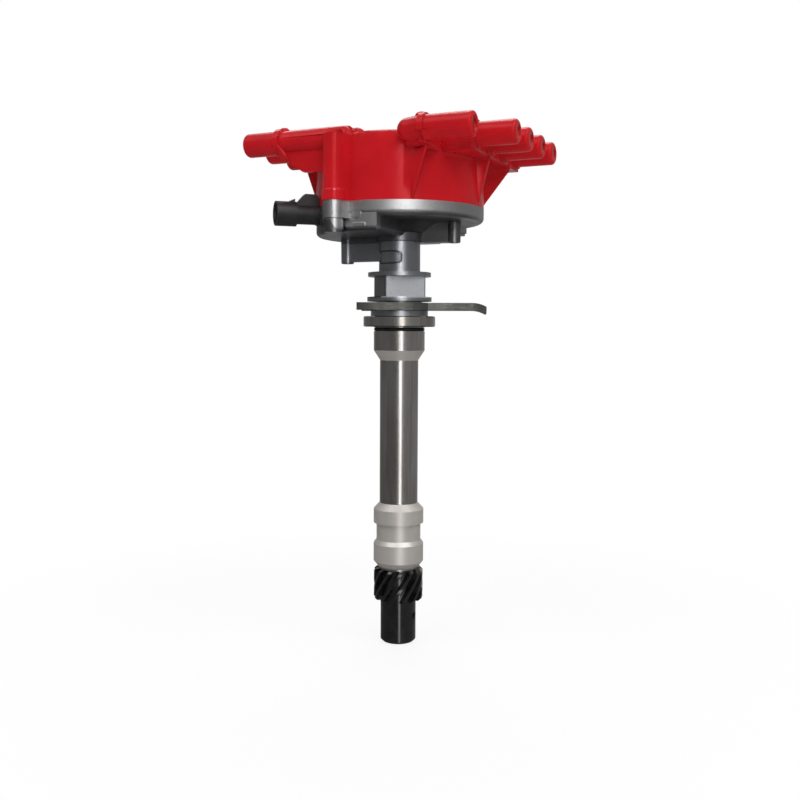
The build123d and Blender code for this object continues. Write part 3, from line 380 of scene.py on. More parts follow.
@finish_for("clamp_steel")
def clamp_steel(f):
    """Stamped plain steel with a dull olive-grey plating and rubbed, streaky faces."""
    arm_turn, painted_shade_start, painted_shade_end = 0.384, -0.016, 0.002
    place = f.place()
    inputs = {"Vector": place, "Rotation": (0, 0, arm_turn)}
    lengthways = f.node("ShaderNodeMapping", {"vector_type": "TEXTURE"}, inputs)
    streaks = f.noise(f.stretched(lengthways, (0.15, 1.0, 1.0)), 900.0, 4.0)
    shear = f.noise(f.stretched(place, (1.0, 1.0, 0.1)), 1400.0, 3.0)
    cloud = f.noise(place, 90.0, 4.0)
    base = f.mixed(f.step(cloud, 0.3, 0.7), colours().clamp, colours().clamp_shade)
    base = f.mixed(f.step(streaks, 0.5, 0.75) * 0.5, base, (0.3, 0.3, 0.28))
    base = f.mixed(f.step(shear, 0.55, 0.7) * 0.4, base, (0.085, 0.085, 0.078))
    # Painted shade: the clamp's colour darkens towards its left end.
    shade = f.step(f.axes(place)[0], painted_shade_start, painted_shade_end, 0.85, 0.0)
    base = f.mixed(shade, base, (0.035, 0.035, 0.033))
    f.surface(
        Base_Color=base,
        Metallic=0.75,
        Roughness=0.42 + 0.16 * cloud,
        Normal=f.bump(streaks, 0.00004, 0.35, f.bump(shear, 0.00004, 0.3)),
    )


@finish_for("seal_rubber")
def seal_rubber(f):
    """Black moulded rubber with a slight bloom."""
    place = f.place()
    bloom = f.noise(place, 240.0, 3.0)
    base = f.mixed(f.step(bloom, 0.4, 0.8), (0.006, 0.006, 0.006), (0.025, 0.025, 0.026))
    f.surface(
        Base_Color=base,
        Roughness=0.5 + 0.2 * bloom,
        Normal=f.bump(f.noise(place, 1600.0, 2.0), 0.00004, 0.3),
    )


def plain_metal(slot, colour, shade, rough, ring_scale):
    """Registers a slot's bright metal, with fine rings along Z, cloudy tone and small nicks."""

    @finish_for(slot)
    def write(f):
        place = f.place()
        rings = f.noise(f.stretched(place, (1.0, 1.0, 40.0)), ring_scale, 3.0)
        cloud = f.noise(place, 180.0, 3.0)
        nicks = f.step(f.noise(place, 1500.0, 2.0), 0.64, 0.74)
        base = f.mixed(f.step(cloud, 0.3, 0.7), colour, shade)
        f.surface(
            Base_Color=f.mixed(nicks * 0.2, base, tuple(0.5 * part for part in shade)),
            Metallic=1.0,
            Roughness=rough + 0.12 * cloud + 0.1 * nicks,
            Normal=f.bump(rings, 0.00001, 0.2),
        )


PLAIN_METALS = (
    # slot, colour, duller colour, roughness, scale of the rings
    ("terminal_brass", (0.68, 0.46, 0.17), (0.5, 0.33, 0.12), 0.24, 90.0),  # drawn, a little dull
    ("electrode_aluminium", (0.72, 0.72, 0.72), (0.55, 0.55, 0.56), 0.3, 90.0),  # drawn
    ("spring_steel", (0.22, 0.21, 0.2), (0.12, 0.115, 0.11), 0.3, 90.0),  # oil-tempered wire
    ("screw_steel", (0.5, 0.52, 0.55), (0.34, 0.36, 0.39), 0.28, 90.0),  # zinc, faintly blue
    ("pin_tin", (0.7, 0.69, 0.66), (0.52, 0.51, 0.49), 0.26, 90.0),  # tin-plated blades
    ("bearing_steel", (0.58, 0.58, 0.59), (0.44, 0.44, 0.45), 0.14, 140.0),  # ground
    ("ring_steel", (0.09, 0.088, 0.085), (0.045, 0.044, 0.043), 0.34, 90.0),  # blackened
    ("bushing_bronze", (0.38, 0.22, 0.1), (0.22, 0.125, 0.06), 0.42, 90.0),  # sintered, oily
    ("washer_steel", (0.6, 0.59, 0.57), (0.42, 0.41, 0.4), 0.22, 90.0),  # bright ground shims
    ("shaft_steel", (0.42, 0.42, 0.43), (0.3, 0.3, 0.31), 0.18, 120.0),  # ground, under oil
    ("shutter_steel", (0.46, 0.46, 0.44), (0.33, 0.32, 0.3), 0.32, 60.0),  # pressed and plated
    ("pin_steel", (0.2, 0.2, 0.205), (0.11, 0.11, 0.115), 0.3, 90.0),  # dark from its hardening
)
for plain in PLAIN_METALS:
    plain_metal(*plain)


@finish_for("rotor_black")
def rotor_black(f):
    """Dark moulded rotor plastic."""
    place = f.place()
    cloud = f.noise(place, 120.0, 3.0)
    base = f.mixed(f.step(cloud, 0.35, 0.7), (0.012, 0.011, 0.011), (0.03, 0.027, 0.026))
    f.surface(
        Base_Color=base,
        Roughness=0.3 + 0.18 * cloud,
        Normal=f.bump(f.noise(place, 900.0, 2.0), 0.00005, 0.3),
    )


@finish_for("carbon_black")
def carbon_black(f):
    """Pressed graphite, dusty and matt."""
    place = f.place()
    dust = f.noise(place, 700.0, 4.0)
    base = f.mixed(f.step(dust, 0.35, 0.7), (0.02, 0.02, 0.021), (0.06, 0.06, 0.061))
    f.surface(
        Base_Color=base,
        Roughness=0.45 + 0.25 * dust,
        Normal=f.bump(dust, 0.00006, 0.4),
    )


# ---- Sizes and colours that a user would change ------------------------------------------------
def colour_property(name, description, default):
    """A colour that the sidebar shows."""
    kind = {"subtype": "COLOR", "size": 3, "min": 0.0, "max": 1.0}
    return FloatVectorProperty(name=name, description=description, default=default, **kind)


class DistributorColours(bpy.types.PropertyGroup):
    """Colours of the visible finishes."""

    cap: colour_property("Cap", "Red of the cap moulding", (0.56, 0.010, 0.016))
    cap_shade: colour_property("Cap shade", "Deeper red in the cap's clouds", (0.47, 0.008, 0.012))
    casting: colour_property("Casting", "Grey of the base casting", (0.56, 0.565, 0.57))
    casting_shade: colour_property("Casting shade", "Darker casting grey", (0.43, 0.435, 0.445))
    # The neck colour is partly painted shade, standing in for the dish's shadow on the neck.
    neck: colour_property("Neck", "Blue-grey of the casting's neck", (0.34, 0.36, 0.405))
    billet: colour_property("Billet", "Bright turned aluminium", (0.62, 0.61, 0.6))
    billet_shade: colour_property("Billet shade", "Duller turned aluminium", (0.46, 0.43, 0.4))
    satin: colour_property("Satin bands", "Satin cone and bands", (0.7, 0.66, 0.62))
    clamp: colour_property("Clamp", "Olive-grey plating of the clamp", (0.17, 0.17, 0.158))
    clamp_shade: colour_property("Clamp shade", "Darker clamp grey", (0.1, 0.1, 0.093))


class DistributorSizes(bpy.types.PropertyGroup):
    """Sizes of the fine detail."""

    fin_rise: FloatProperty(
        name="Fin rise", description="Above its tower", default=0.0019, unit="LENGTH", min=0.0
    )
    boss_radius: FloatProperty(
        name="Boss radius",
        description="Of the crown boss",
        default=0.0044,
        unit="LENGTH",
        min=0.001,
    )


class DistributorStudio(bpy.types.PropertyGroup):
    """Camera and light."""

    turn: FloatProperty(
        name="Camera turn",
        description="How far the camera stands round the shaft axis from straight ahead",
        default=radians(24.45),
        subtype="ANGLE",
    )
    pitch: FloatProperty(
        name="Camera pitch",
        description="How far the camera looks down",
        default=radians(4.27),
        subtype="ANGLE",
    )
    roll: FloatProperty(
        name="Camera roll",
        description="Turn of the frame",
        default=radians(0.25),
        subtype="ANGLE",
    )
    distance: FloatProperty(
        name="Camera distance", description="From the shaft axis", default=0.5938, unit="LENGTH"
    )
    height: FloatProperty(
        name="Camera height", description="Above the seat", default=-0.0011, unit="LENGTH"
    )
    aside: FloatProperty(
        name="Camera aside", description="Sideways from the axis", default=0.00062, unit="LENGTH"
    )
    lens: FloatProperty(name="Lens", description="Focal length in millimetres", default=43.016)
    level: FloatProperty(
        name="Light level", description="Strength of the surrounding light", default=0.42, min=0.0
    )


# ---- Stage -------------------------------------------------------------------------------------
LAMPS = {
    # name: turn from the camera and height in degrees, distance, width and length, power
    "front_key": (8, 24, 1.3, (0.5, 0.7), 4.0),
    "top_left": (-50, 52, 1.3, (0.8, 0.6), 3.2),
    "top_right": (48, 48, 1.3, (0.8, 0.6), 4.0),
    "top_back": (180, 55, 1.4, (1.0, 0.6), 5.0),
}


def linked(name, data):
    """A new object, put in the scene."""
    made = bpy.data.objects.new(name, data)
    bpy.context.scene.collection.objects.link(made)
    return made


def softbox(name, azimuth, elevation, distance, size, power):
    """A rectangular lamp on a sphere round the origin, turned towards it."""
    data = bpy.data.lights.new(name, "AREA")
    data.shape, data.size, data.size_y = "RECTANGLE", *size
    data.energy = power
    lamp = linked(name, data)
    level = cos(elevation)
    out = Vector((level * cos(azimuth), level * sin(azimuth), sin(elevation)))
    lamp.location = out * distance
    lamp.rotation_euler = out.to_track_quat("Z", "Y").to_euler()
    lamp.visible_camera = False


class DISTRIBUTOR_OT_camera(bpy.types.Operator):
    """Sets up the camera at its place in front of the distributor"""

    bl_idname = "distributor.camera"
    bl_label = "Camera"

    def execute(self, context):
        studio = context.scene.distributor_studio
        turn, pitch, roll = studio.turn, studio.pitch, studio.roll
        right = Vector((cos(turn), sin(turn), 0))
        forward = Vector((-sin(turn) * cos(pitch), cos(turn) * cos(pitch), -sin(pitch)))
        up = right.cross(forward)
        across = right * cos(roll) + up * sin(roll)
        upright = up * cos(roll) - right * sin(roll)
        data = bpy.data.cameras.new("Camera")
        data.lens, data.sensor_width, data.sensor_fit = studio.lens, 36.0, "HORIZONTAL"
        data.clip_start, data.clip_end = 0.01, 100.0
        camera = linked("Camera", data)
        place = right * studio.aside + Vector((sin(turn), -cos(turn), 0)) * studio.distance
        place.z = studio.height
        facing = Matrix((across, upright, -forward)).transposed().to_4x4()
        camera.matrix_world = Matrix.Translation(place) @ facing
        context.scene.camera = camera
        return {"FINISHED"}


class DISTRIBUTOR_OT_stage(bpy.types.Operator):
    """Lays the pale floor and sets the lamps and the surrounding light"""

    bl_idname = "distributor.stage"
    bl_label = "Floor and lights"

    def execute(self, context):
        scene = context.scene
        studio = scene.distributor_studio
        front = atan2(-cos(studio.turn), sin(studio.turn))
        floor_mesh = bpy.data.meshes.new("studio_floor")
        reach, gap = 30.0, 0.0004
        sides = ((-reach, -reach), (reach, -reach), (reach, reach), (-reach, reach))
        corners = [(x, y, CAD_BOX[0][2] - gap) for x, y in sides]
        floor_mesh.from_pydata(corners, [], [(0, 1, 2, 3)])
        floor = linked("studio_floor", floor_mesh)
        floor.visible_glossy = False
        floor_mesh.materials.append(self.floor_finish())

        for name, (turn, height, *lamp) in LAMPS.items():
            softbox(name, front + radians(turn), radians(height), *lamp)

        self.surroundings(scene, studio.level, front)
        scene.view_settings.view_transform = "Standard"
        return {"FINISHED"}

    @staticmethod
    def floor_finish():
        """White to the camera and in reflections, with the object's shadow left faintly on it."""
        material = bpy.data.materials.new("Studio floor")
        near_reach, far_reach, near_white = 0.12, 0.6, 0.82
        f = Finish(material)
        rays = f.node("ShaderNodeLightPath", output="Is Camera Ray")
        seen = f.math("MAXIMUM", rays, rays.out("Is Glossy Ray"))
        seen = f.math("MAXIMUM", seen, rays.out("Is Transmission Ray"))
        matt = f.node("ShaderNodeBsdfDiffuse", None, {"Color": (0.86, 0.86, 0.86, 1.0)})
        white = f.node("ShaderNodeEmission", None, {"Color": WHITE, "Strength": 1.03})
        x, y, _ = f.axes(f.place())
        far = f.step(f.from_axis(x, y), near_reach, far_reach, near_white, 1.0)
        shown = f.mixed_shader(seen * far, matt, white)
        f.node("ShaderNodeOutputMaterial", None, {"Surface": shown})
        return material

    @staticmethod
    def surroundings(scene, level, front):
        """White to the camera; gloss sees a dim room with a bright strip, back and ceiling."""
        world = bpy.data.worlds.new("Studio")
        scene.world = world
        f = Finish(world)

        def light(colour, strength):
            return f.node("ShaderNodeBackground", None, {"Color": colour, "Strength": strength})

        rays = f.node("ShaderNodeLightPath", output="Is Camera Ray")
        shown = f.math("MAXIMUM", rays, rays.out("Is Transmission Ray"))
        direction = f.node("ShaderNodeTexCoord", output="Generated")
        x, y, z = f.axes(direction)
        ahead = x * cos(front) + y * sin(front)
        aside = y * cos(front) - x * sin(front)
        azimuth = f.math("ARCTAN2", aside, ahead)
        room_level, side_lift, strip_level, back_level, ceiling_level = 0.12, 0.09, 3.0, 0.25, 0.3
        room = room_level + side_lift * f.step(azimuth, 0.0, 0.5)
        strip = f.between(azimuth, 0.05, 0.24, 0.05) * strip_level
        behind = f.step(f.math("ABSOLUTE", azimuth), 2.3, 3.1) * back_level
        below = f.step(z, -0.55, -0.15, 0.3, 1.0)
        gloss = (room + strip + behind) * below + f.step(z, 0.4, 0.8) * ceiling_level
        glossy = light((1.0, 0.985, 0.97, 1.0), gloss)
        lit = f.mixed_shader(rays.out("Is Glossy Ray"), light(WHITE, level), glossy)
        lit = f.mixed_shader(shown, lit, light(WHITE, 1.0))
        f.node("ShaderNodeOutputWorld", None, {"Surface": lit})


# ---- Making pieces -----------------------------------------------------------------------------
def copied(node):
    """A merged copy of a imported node's mesh, for reshaping."""
    bm = bmesh.new()
    bm.from_mesh(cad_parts[node].data)
    bmesh.ops.remove_doubles(bm, verts=bm.verts, dist=1e-6)
    return bm


def finished_piece(name, bm, slot, sharp=24.0):
    """A piece from a finished mesh, in a slot's finish and smooth up to an angle in degrees."""
    bmesh.ops.recalc_face_normals(bm, faces=bm.faces)
    mesh = bpy.data.meshes.new(name)
    bm.to_mesh(mesh)
    bm.free()
    mesh.shade_smooth()
    mesh.set_sharp_from_angle(angle=radians(sharp))
    mesh.materials.append(finished_material(slot))
    return placed(name, evenly_shaded(mesh))


def evenly_shaded(mesh):
    """The same mesh, shaded so that a narrow rounding doesn't cloud the wide face beside it."""
    holder = linked(mesh.name, mesh)
    modifier = holder.modifiers.new("Even shading", "WEIGHTED_NORMAL")
    modifier.keep_sharp = True
    return applied(holder)


def applied(holder):
    """The plain mesh that an object's modifiers make. The object itself goes."""
    seen = holder.evaluated_get(bpy.context.evaluated_depsgraph_get())
    mesh = bpy.data.meshes.new_from_object(seen)
    bpy.data.objects.remove(holder)
    return mesh


def placed(name, mesh):
    """Puts a mesh in the scene as a piece that rides on the housing."""
    piece = linked(name, mesh)
    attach(piece, "housing")
    return piece


def turned(bm, profile, place=Matrix(), steps=72):
    """Adds a closed form of revolution about a place's own Z. The profile is (radius, height)."""
    rings = []
    for radius, height in profile:
        if radius == 0:
            rings.append([bm.verts.new(place @ Vector((0, 0, height)))])
            continue
        turns = (2 * pi * step / steps for step in range(steps))
        ring = [Vector((radius * cos(turn), radius * sin(turn), height)) for turn in turns]
        rings.append([bm.verts.new(place @ point) for point in ring])
    pairs = list(zip(rings, rings[1:]))
    if len(rings[0]) > 1:
        pairs.append((rings[-1], rings[0]))
    for one, two in pairs:
        joined_rings(bm, one, two)


def at(x, y, z=0.0):
    """A place that is given in millimetres."""
    return Matrix.Translation((x * MM, y * MM, z * MM))


def in_metres(profile):
    """A profile of (radius, height) in millimetres, given in metres."""
    return [(radius * MM, height * MM) for radius, height in profile]


def joined_rings(bm, one, two):
    """Faces between two rings of vertices, either of which may be a single point."""
    for step in range(max(len(one), len(two))):
        corners = [one[step % len(one)], one[(step + 1) % len(one)]]
        corners += [two[(step + 1) % len(two)], two[step % len(two)]]
        corners = list(dict.fromkeys(corners))
        if len(corners) > 2:
            bm.faces.new(corners)


def wall_radius(node, angle, height):
    """How far a node's outer surface is from the shaft axis, at an angle and a height."""
    bm = copied(node)
    tree = BVHTree.FromBMesh(bm)
    bm.free()
    out, outside = Vector((cos(angle), sin(angle), 0)), 200 * MM
    hit = tree.ray_cast(out * outside + Vector((0, 0, height)), -out)[0]
    return hypot(hit.x, hit.y)


def rounded(value, power, size):
    """A number of -1 to 1, raised to a power with its sign kept, and then scaled."""
    return abs(value) ** power * (1 if value > 0 else -1) * size


def raised_mark(bm, angle, height, half, profile, square, steps=64):
    """Adds a mark to the casting's wall. The profile is (share of the half size, rise)."""
    radius = wall_radius("base_housing", angle, height)
    rings = []
    for share, rise in profile:
        ring = []
        for step in range(steps if share else 1):
            turn = 2 * pi * step / steps
            along = rounded(cos(turn), 2 / square, half[0]) * share
            up = rounded(sin(turn), 2 / square, half[1]) * share
            place = angle + along / radius
            reach = radius + rise
            ring.append(bm.verts.new((reach * cos(place), reach * sin(place), height + up)))
        rings.append(ring)
    for one, two in zip(rings, rings[1:]):
        joined_rings(bm, one, two)


def row_tree():
    """A node tree that sets copies of one object in a straight row."""
    tree = bpy.data.node_groups.get("Row of copies")
    if tree:
        return tree
    tree = bpy.data.node_groups.new("Row of copies", "GeometryNodeTree")
    for name, kind in (
        ("Piece", "Object"),
        ("Copies", "Int"),
        ("Start", "Vector"),
        ("Pitch", "Vector"),
        ("Size", "Vector"),
        ("Finish", "Material"),
    ):
        tree.interface.new_socket(name, in_out="INPUT", socket_type="NodeSocket" + kind)
    tree.interface.new_socket("Geometry", in_out="OUTPUT", socket_type="NodeSocketGeometry")

    def node(kind, **inputs):
        made = tree.nodes.new(kind)
        for name, socket in inputs.items():
            tree.links.new(socket, made.inputs[name.replace("_", " ")])
        return made

    given = tree.nodes.new("NodeGroupInput").outputs
    line = node(
        "GeometryNodeMeshLine",
        Count=given["Copies"],
        Start_Location=given["Start"],
        Offset=given["Pitch"],
    )
    shape = node("GeometryNodeObjectInfo", Object=given["Piece"])
    spread = node(
        "GeometryNodeInstanceOnPoints",
        Points=line.outputs["Mesh"],
        Instance=shape.outputs["Geometry"],
        Scale=given["Size"],
    )
    real = node("GeometryNodeRealizeInstances", Geometry=spread.outputs["Instances"])
    painted = node(
        "GeometryNodeSetMaterial", Geometry=real.outputs["Geometry"], Material=given["Finish"]
    )
    node("NodeGroupOutput", Geometry=painted.outputs["Geometry"])
    return tree


def row_of(name, slot, bm, copies, start, pitch):
    """A piece made of copies of a mesh in a row, with its node tree applied."""
    mesh = bpy.data.meshes.new(name + "_one")
    bmesh.ops.recalc_face_normals(bm, faces=bm.faces)
    bm.to_mesh(mesh)
    bm.free()
    mesh.shade_smooth()
    one = linked(name + "_one", mesh)
    holder = linked(name + "_row", bpy.data.meshes.new(name + "_row"))
    tree = row_tree()
    modifier = holder.modifiers.new("Row", "NODES")
    modifier.node_group = tree
    values = {
        "Piece": one,
        "Copies": copies,
        "Start": start,
        "Pitch": pitch,
        "Size": (1.0, 1.0, 1.0),
        "Finish": finished_material(slot),
    }
    for socket in tree.interface.items_tree:
        if socket.name in values:
            modifier[socket.identifier] = values[socket.name]
    row = applied(holder)
    row.name = name
    row.materials.clear()
    row.materials.append(finished_material(slot))
    bpy.data.objects.remove(one)
    return placed(name, row)


# ---- Pieces ------------------------------------------------------------------------------------
# All in millimetres.
TOWERS_IN_ROW, TOWER_HEIGHT, TOWER_RADIUS, TOWER_PITCH = 4, 108.3, 7.0, 24.54
FRONT_LEFT_AXIS, COIL_AXIS = -43.9, -51.3
COLLAR_END = 60.75  # of each row tower's collar, from the middle
ROW_FIN_END, COIL_FIN_END = 59.0, 39.5  # how far out the fins reach, from the middle
FIN_HALF, FIN_BACK = (3.7, 2.1, 4.2), 3.6  # half sizes, and from a fin's end back to its middle
CROWN_TOP, BOSS_PLACE = 110.2, (-7.0, -44.0)
COLUMNS = ((-16.61, -54.11), (16.61, 54.11))
ROWS = (  # side, first tower's axis, end before and after drawing in
    (-1, FRONT_LEFT_AXIS, 83.9, 81.0),
    (1, -22.8, 83.2, 82.6),
)


def draw_in_towers(bm):
    """Shortens the towers of both rows past their collars and rounds their rims."""
    radius, rim, rounder = TOWER_RADIUS, 1.75, 1.4
    for vert in bm.verts:
        x, y, z = vert.co / MM
        for side, first, end, wanted in ROWS:
            past = side * x - COLLAR_END
            if past < 0 or y < first - radius - 1:
                continue
            axis = first + round((y - first) / TOWER_PITCH) * TOWER_PITCH
            reach = COLLAR_END + past * (wanted - COLLAR_END) / (end - COLLAR_END)
            across, up = y - axis, z - TOWER_HEIGHT
            out = hypot(across, up)
            if end - side * x < rim and out > radius - rim:
                reach = wanted - (end - side * x) * rounder
                share = (radius - (radius - out) * rounder) / out
                across, up = across * share, up * share
            vert.co = Vector((side * reach, axis + across, TOWER_HEIGHT + up)) * MM


def slim_coil_conduit(bm):
    """Tapers the end of the coil tower's conduit."""
    start, full, draw, slim = 19.0, 33.0, 2.4, 0.2
    radius, front = 7.3, -44.0
    for vert in bm.verts:
        x, y, z = vert.co / MM
        across, up = y - COIL_AXIS, z - TOWER_HEIGHT
        if start < x < full and y < front and hypot(across, up) < radius:
            share = (full - x) / (full - start)
            keep = 1 - slim * share
            place = (x + draw * share, COIL_AXIS + across * keep, TOWER_HEIGHT + up * keep)
            vert.co = Vector(place) * MM


def lower_fins_and_boss(bm):
    """Sinks the flat fins and the flat crown boss, which rounded ones take the place of."""
    boss_radius, boss_foot, fin_foot, sunk = 4.3, 111, 8.4, 5.5
    for vert in bm.verts:
        x, y, z = vert.co / MM
        if hypot(x - BOSS_PLACE[0], y - BOSS_PLACE[1]) < boss_radius and z > boss_foot:
            vert.co.z = CROWN_TOP * MM
        elif z > TOWER_HEIGHT + fin_foot:
            vert.co.z = (TOWER_HEIGHT + sunk) * MM


def set_back_left_wall(bm):
    """Moves the wall under the front left tower back behind the tower's conduit."""
    outer_face, inner_face, set_back = -51.6, -49.0, 4.8
    left, right, foot, conduit_radius = -57.4, -19, 89, 8.2
    on_face, on_conduit = 0.03, 0.1
    for vert in bm.verts:
        x, y, z = vert.co / MM
        flat = min(abs(y - outer_face), abs(y - inner_face)) < on_face
        ring = abs(hypot(y - FRONT_LEFT_AXIS, z - TOWER_HEIGHT) - conduit_radius) < on_conduit
        if flat and left < x < right and z > foot and not ring:
            vert.co.y += set_back * MM


def slim_columns(bm):
    """Draws the screw columns in above their feet."""
    inner, outer, slim, drum = 6.8, 7.2, 6.35, 48 * MM
    for vert in bm.verts:
        for x, y in COLUMNS:
            across = vert.co.xy / MM - Vector((x, y))
            if inner < across.length < outer and hypot(*vert.co.xy) > drum:
                vert.co.xy = (Vector((x, y)) + across * (slim / across.length)) * MM


def lean_coil_web(bm):
    """Leans the web under the coil tower out to the tower's shoulder, and thins its edge."""
    foot, top, aside, forward = 72.0, 102.9, 7.6, 1.3
    middle, half_thick, thinned = radians(-58), 1.35, 0.3
    drum, low, high = 51.0, 60, 105.2
    for vert in bm.verts:
        x, y, z = vert.co / MM
        radius = hypot(x, y)
        off = radius * sin(atan2(y, x) - middle)
        if radius > drum and abs(off) < half_thick and low < z < high:
            share = max(0.0, (z - foot) / (top - foot))
            x += aside * share + off * thinned * sin(middle)
            y += forward * share - off * thinned * cos(middle)
            vert.co = Vector((x, y, z)) * MM


class DISTRIBUTOR_OT_cap(bpy.types.Operator):
    """Reshapes the cap's moulding, and shortens the terminals with their towers"""

    bl_idname = "distributor.cap"
    bl_label = "Cap moulding"

    def execute(self, context):
        bm = copied("cap")
        for reshape in (
            draw_in_towers,
            slim_coil_conduit,
            lower_fins_and_boss,
            set_back_left_wall,
            slim_columns,
            lean_coil_web,
        ):
            reshape(bm)
        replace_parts(finished_piece("cap_moulding", bm, "red_cap"), "cap")
        bm = copied("tower_terminals")
        draw_in_towers(bm)
        piece = finished_piece("tower_terminals_drawn", bm, "terminal_brass")
        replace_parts(piece, "tower_terminals")
        return {"FINISHED"}


class DISTRIBUTOR_OT_cap_details(bpy.types.Operator):
    """Makes the rounded fins, the crown boss, the front conduit and the column feet"""

    bl_idname = "distributor.cap_details"
    bl_label = "Cap details"

    @staticmethod
    def fin():
        """A rounded hump, thick at its middle, that leans on the tower's collar."""
        bm = bmesh.new()
        bmesh.ops.create_uvsphere(bm, u_segments=32, v_segments=20, radius=1.0)
        half, square = Vector(FIN_HALF) * MM, (0.75, 0.9, 0.72)
        for vert in bm.verts:
            vert.co = Vector(map(rounded, vert.co, square, half))
        return bm

    def execute(self, context):
        sizes = context.scene.distributor_sizes
        height = (TOWER_HEIGHT + TOWER_RADIUS + sizes.fin_rise / MM - FIN_HALF[2]) * MM
        back = FIN_BACK * MM
        for name, (side, first, *_) in zip(("fins_left", "fins_right"), ROWS):
            start, pitch = (side * (ROW_FIN_END * MM - back), first * MM, height), TOWER_PITCH * MM
            row_of(name, "red_cap", self.fin(), TOWERS_IN_ROW, start, (0, pitch, 0))
        coil = (COIL_FIN_END * MM - back, COIL_AXIS * MM, height)
        row_of("fin_coil", "red_cap", self.fin(), 1, coil, (0, 0, 0))

        bm = bmesh.new()
        boss, base, rise, root = sizes.boss_radius, CROWN_TOP * MM, 3.2 * MM, 1.5 * MM
        arc = [radians(10 * step) for step in range(10)]
        profile = [(boss * sin(turn), base + rise * cos(turn)) for turn in arc]
        profile += [(boss, base - root), (0, base - root)]
        turned(bm, profile, at(*BOSS_PLACE))
        finished_piece("crown_boss", bm, "red_cap")

        bm = bmesh.new()
        end, length, radius = -57.0, 33.0 * MM, 6.83 * MM
        place = at(end, FRONT_LEFT_AXIS, TOWER_HEIGHT) @ Matrix.Rotation(radians(90), 4, "Y")
        nose = [(radius * cos(turn), length + radius * sin(turn)) for turn in arc[:-1]]
        turned(bm, [(0, 0), (radius, 0), *nose, (0, length + radius)], place)
        finished_piece("front_conduit", bm, "red_cap")

        bm = bmesh.new()
        inner, outer, low = 5.2, 6.97, 71.4
        ring = [(inner, low), (outer, low), (outer, FOOT_SHOULDER), (6.8, 77.2)]
        ring += [(6.1, FOOT_TOP), (inner, FOOT_TOP)]
        for x, y in COLUMNS:
            turned(bm, in_metres(ring), at(x, y))
        finished_piece("column_feet", bm, "red_cap")
        return {"FINISHED"}


class DISTRIBUTOR_OT_casting_details(bpy.types.Operator):
    """Makes the marks that the die leaves on the casting, and the flare of its hub"""

    bl_idname = "distributor.casting_details"
    bl_label = "Casting details"

    def execute(self, context):
        bm = bmesh.new()
        pad = ((0, 0.3), (0.8, 0.3), (0.93, 0.22), (1.0, 0.0), (1.0, -0.5), (0, -0.5))
        pad = [(share, rise * MM) for share, rise in pad]
        for degrees_round, height, half, square in (
            (-94.5, 64.6, (3.45, 3.45), 2.0),  # the round mark
            (-92.7, 57.9, (4.3, 1.3), 5.0),  # the bar mark
        ):
            half = [size * MM for size in half]
            raised_mark(bm, radians(degrees_round), height * MM, half, pad, square)
        finished_piece("casting_marks", bm, "cast_aluminium")

        bm = bmesh.new()
        lip = ((0, -0.5), (0.72, -0.5), (0.78, 0.0), (0.8, 0.42), (0.88, 0.5), (0.96, 0.42))
        lip += ((1.0, 0.0), (1.0, -0.7), (0, -0.7))
        lip = [(share, rise * MM) for share, rise in lip]
        height = PANEL_HEIGHT * MM
        neck = wall_radius("base_housing", PANEL_MIDDLE, height)
        half = (neck * PANEL_HALF_TURN, PANEL_HALF_HEIGHT * MM)
        raised_mark(bm, PANEL_MIDDLE, height, half, lip, 5.0)
        finished_piece("neck_panel", bm, "cast_aluminium")

        bm = bmesh.new()
        hub, wide, top = 12.0, 24.0, 63.7
        flare = [(hub, 56.5), (14.5, 56.9), (16.2, 57.9), (18.6, 59.9), (21.4, 61.9)]
        flare += [(wide, 63.1), (wide, top), (hub, top)]
        turned(bm, in_metres(flare), steps=96)
        finished_piece("hub_flare", bm, "cast_aluminium", sharp=50.0)

        bm = bmesh.new()
        rim, foot_radius, top_radius, root = 0.5, 4.05, 4.2, 0.4
        for x, y, low, high in ((-36.0, 0.0, 39.5, 54.5), (33.0, 7.0, 51.0, 63.0)):
            boss = [(0, low), (3.7 - rim, low), (foot_radius - rim, low + 0.05)]
            boss += [(foot_radius, low + rim), (top_radius, high + root), (0, high + root)]
            turned(bm, in_metres(boss), at(x, y), steps=48)
        finished_piece("arm_bosses", bm, "cast_aluminium")
        return {"FINISHED"}


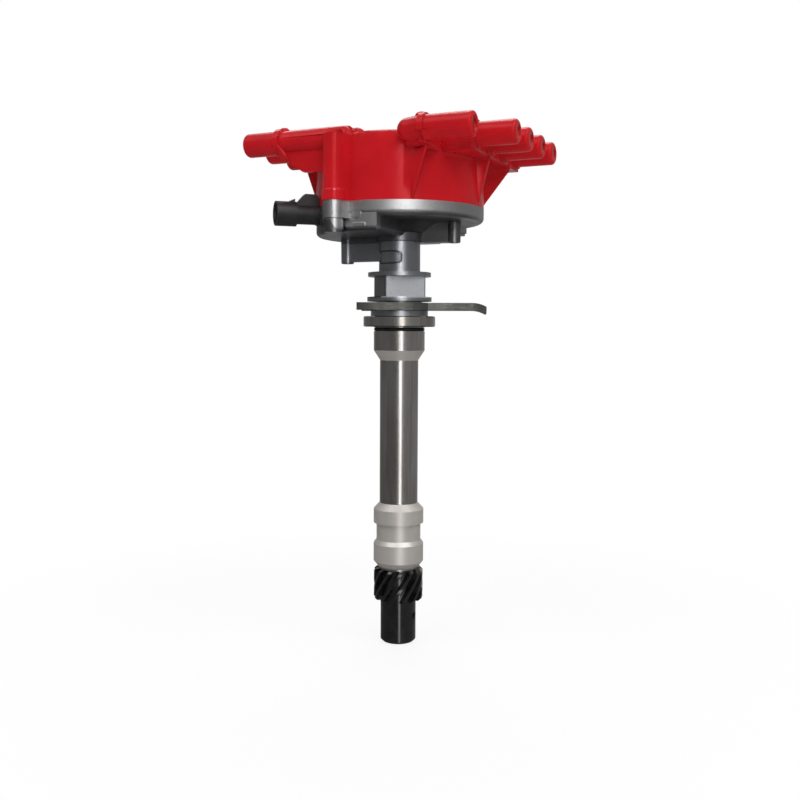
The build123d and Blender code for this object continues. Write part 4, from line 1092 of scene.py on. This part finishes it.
class DISTRIBUTOR_OT_finishes(bpy.types.Operator):
    """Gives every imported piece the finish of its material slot"""

    bl_idname = "distributor.finishes"
    bl_label = "Finishes"

    def execute(self, context):
        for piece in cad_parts.values():
            for slot in piece.material_slots:
                slot.material = finished_material(slot.material.name.split(".")[0])
        return {"FINISHED"}


class DISTRIBUTOR_OT_button_spring(bpy.types.Operator):
    """Makes the carbon button's spring with a mesh of its own; the real spring shortens as the
    button rises
    """

    bl_idname = "distributor.button_spring"
    bl_label = "Button spring"

    def execute(self, context):
        spring = finished_piece("button_spring_coil", copied("button_spring"), "spring_steel")
        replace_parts(spring, "button_spring")
        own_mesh(spring)
        return {"FINISHED"}


STEPS = (
    DISTRIBUTOR_OT_camera,
    DISTRIBUTOR_OT_finishes,
    DISTRIBUTOR_OT_cap,
    DISTRIBUTOR_OT_cap_details,
    DISTRIBUTOR_OT_casting_details,
    DISTRIBUTOR_OT_button_spring,
    DISTRIBUTOR_OT_stage,
)


class DISTRIBUTOR_PT_panel(bpy.types.Panel):
    """Sidebar panel with the sizes, the colours and each step"""

    bl_label = "Ignition Distributor"
    bl_idname = "DISTRIBUTOR_PT_panel"
    bl_space_type = "VIEW_3D"
    bl_region_type = "UI"
    bl_category = "Distributor"

    def draw(self, context):
        scene = context.scene
        groups = (scene.distributor_colours, scene.distributor_sizes, scene.distributor_studio)
        for group in groups:
            box = self.layout.box()
            for name in group.bl_rna.properties.keys():
                if name not in {"rna_type", "name"}:
                    box.prop(group, name)
        for step in STEPS:
            self.layout.operator(step.bl_idname)


CLASSES = (DistributorColours, DistributorSizes, DistributorStudio, *STEPS, DISTRIBUTOR_PT_panel)


def register():
    for kind in CLASSES:
        bpy.utils.register_class(kind)
    bpy.types.Scene.distributor_colours = PointerProperty(type=DistributorColours)
    bpy.types.Scene.distributor_sizes = PointerProperty(type=DistributorSizes)
    bpy.types.Scene.distributor_studio = PointerProperty(type=DistributorStudio)


def unregister():
    del bpy.types.Scene.distributor_studio
    del bpy.types.Scene.distributor_sizes
    del bpy.types.Scene.distributor_colours
    for kind in reversed(CLASSES):
        bpy.utils.unregister_class(kind)


def main():
    """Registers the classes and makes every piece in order."""
    register()
    for step in STEPS:
        group, name = step.bl_idname.split(".")
        getattr(getattr(bpy.ops, group), name)()


if __name__ == "__main__":
    main()
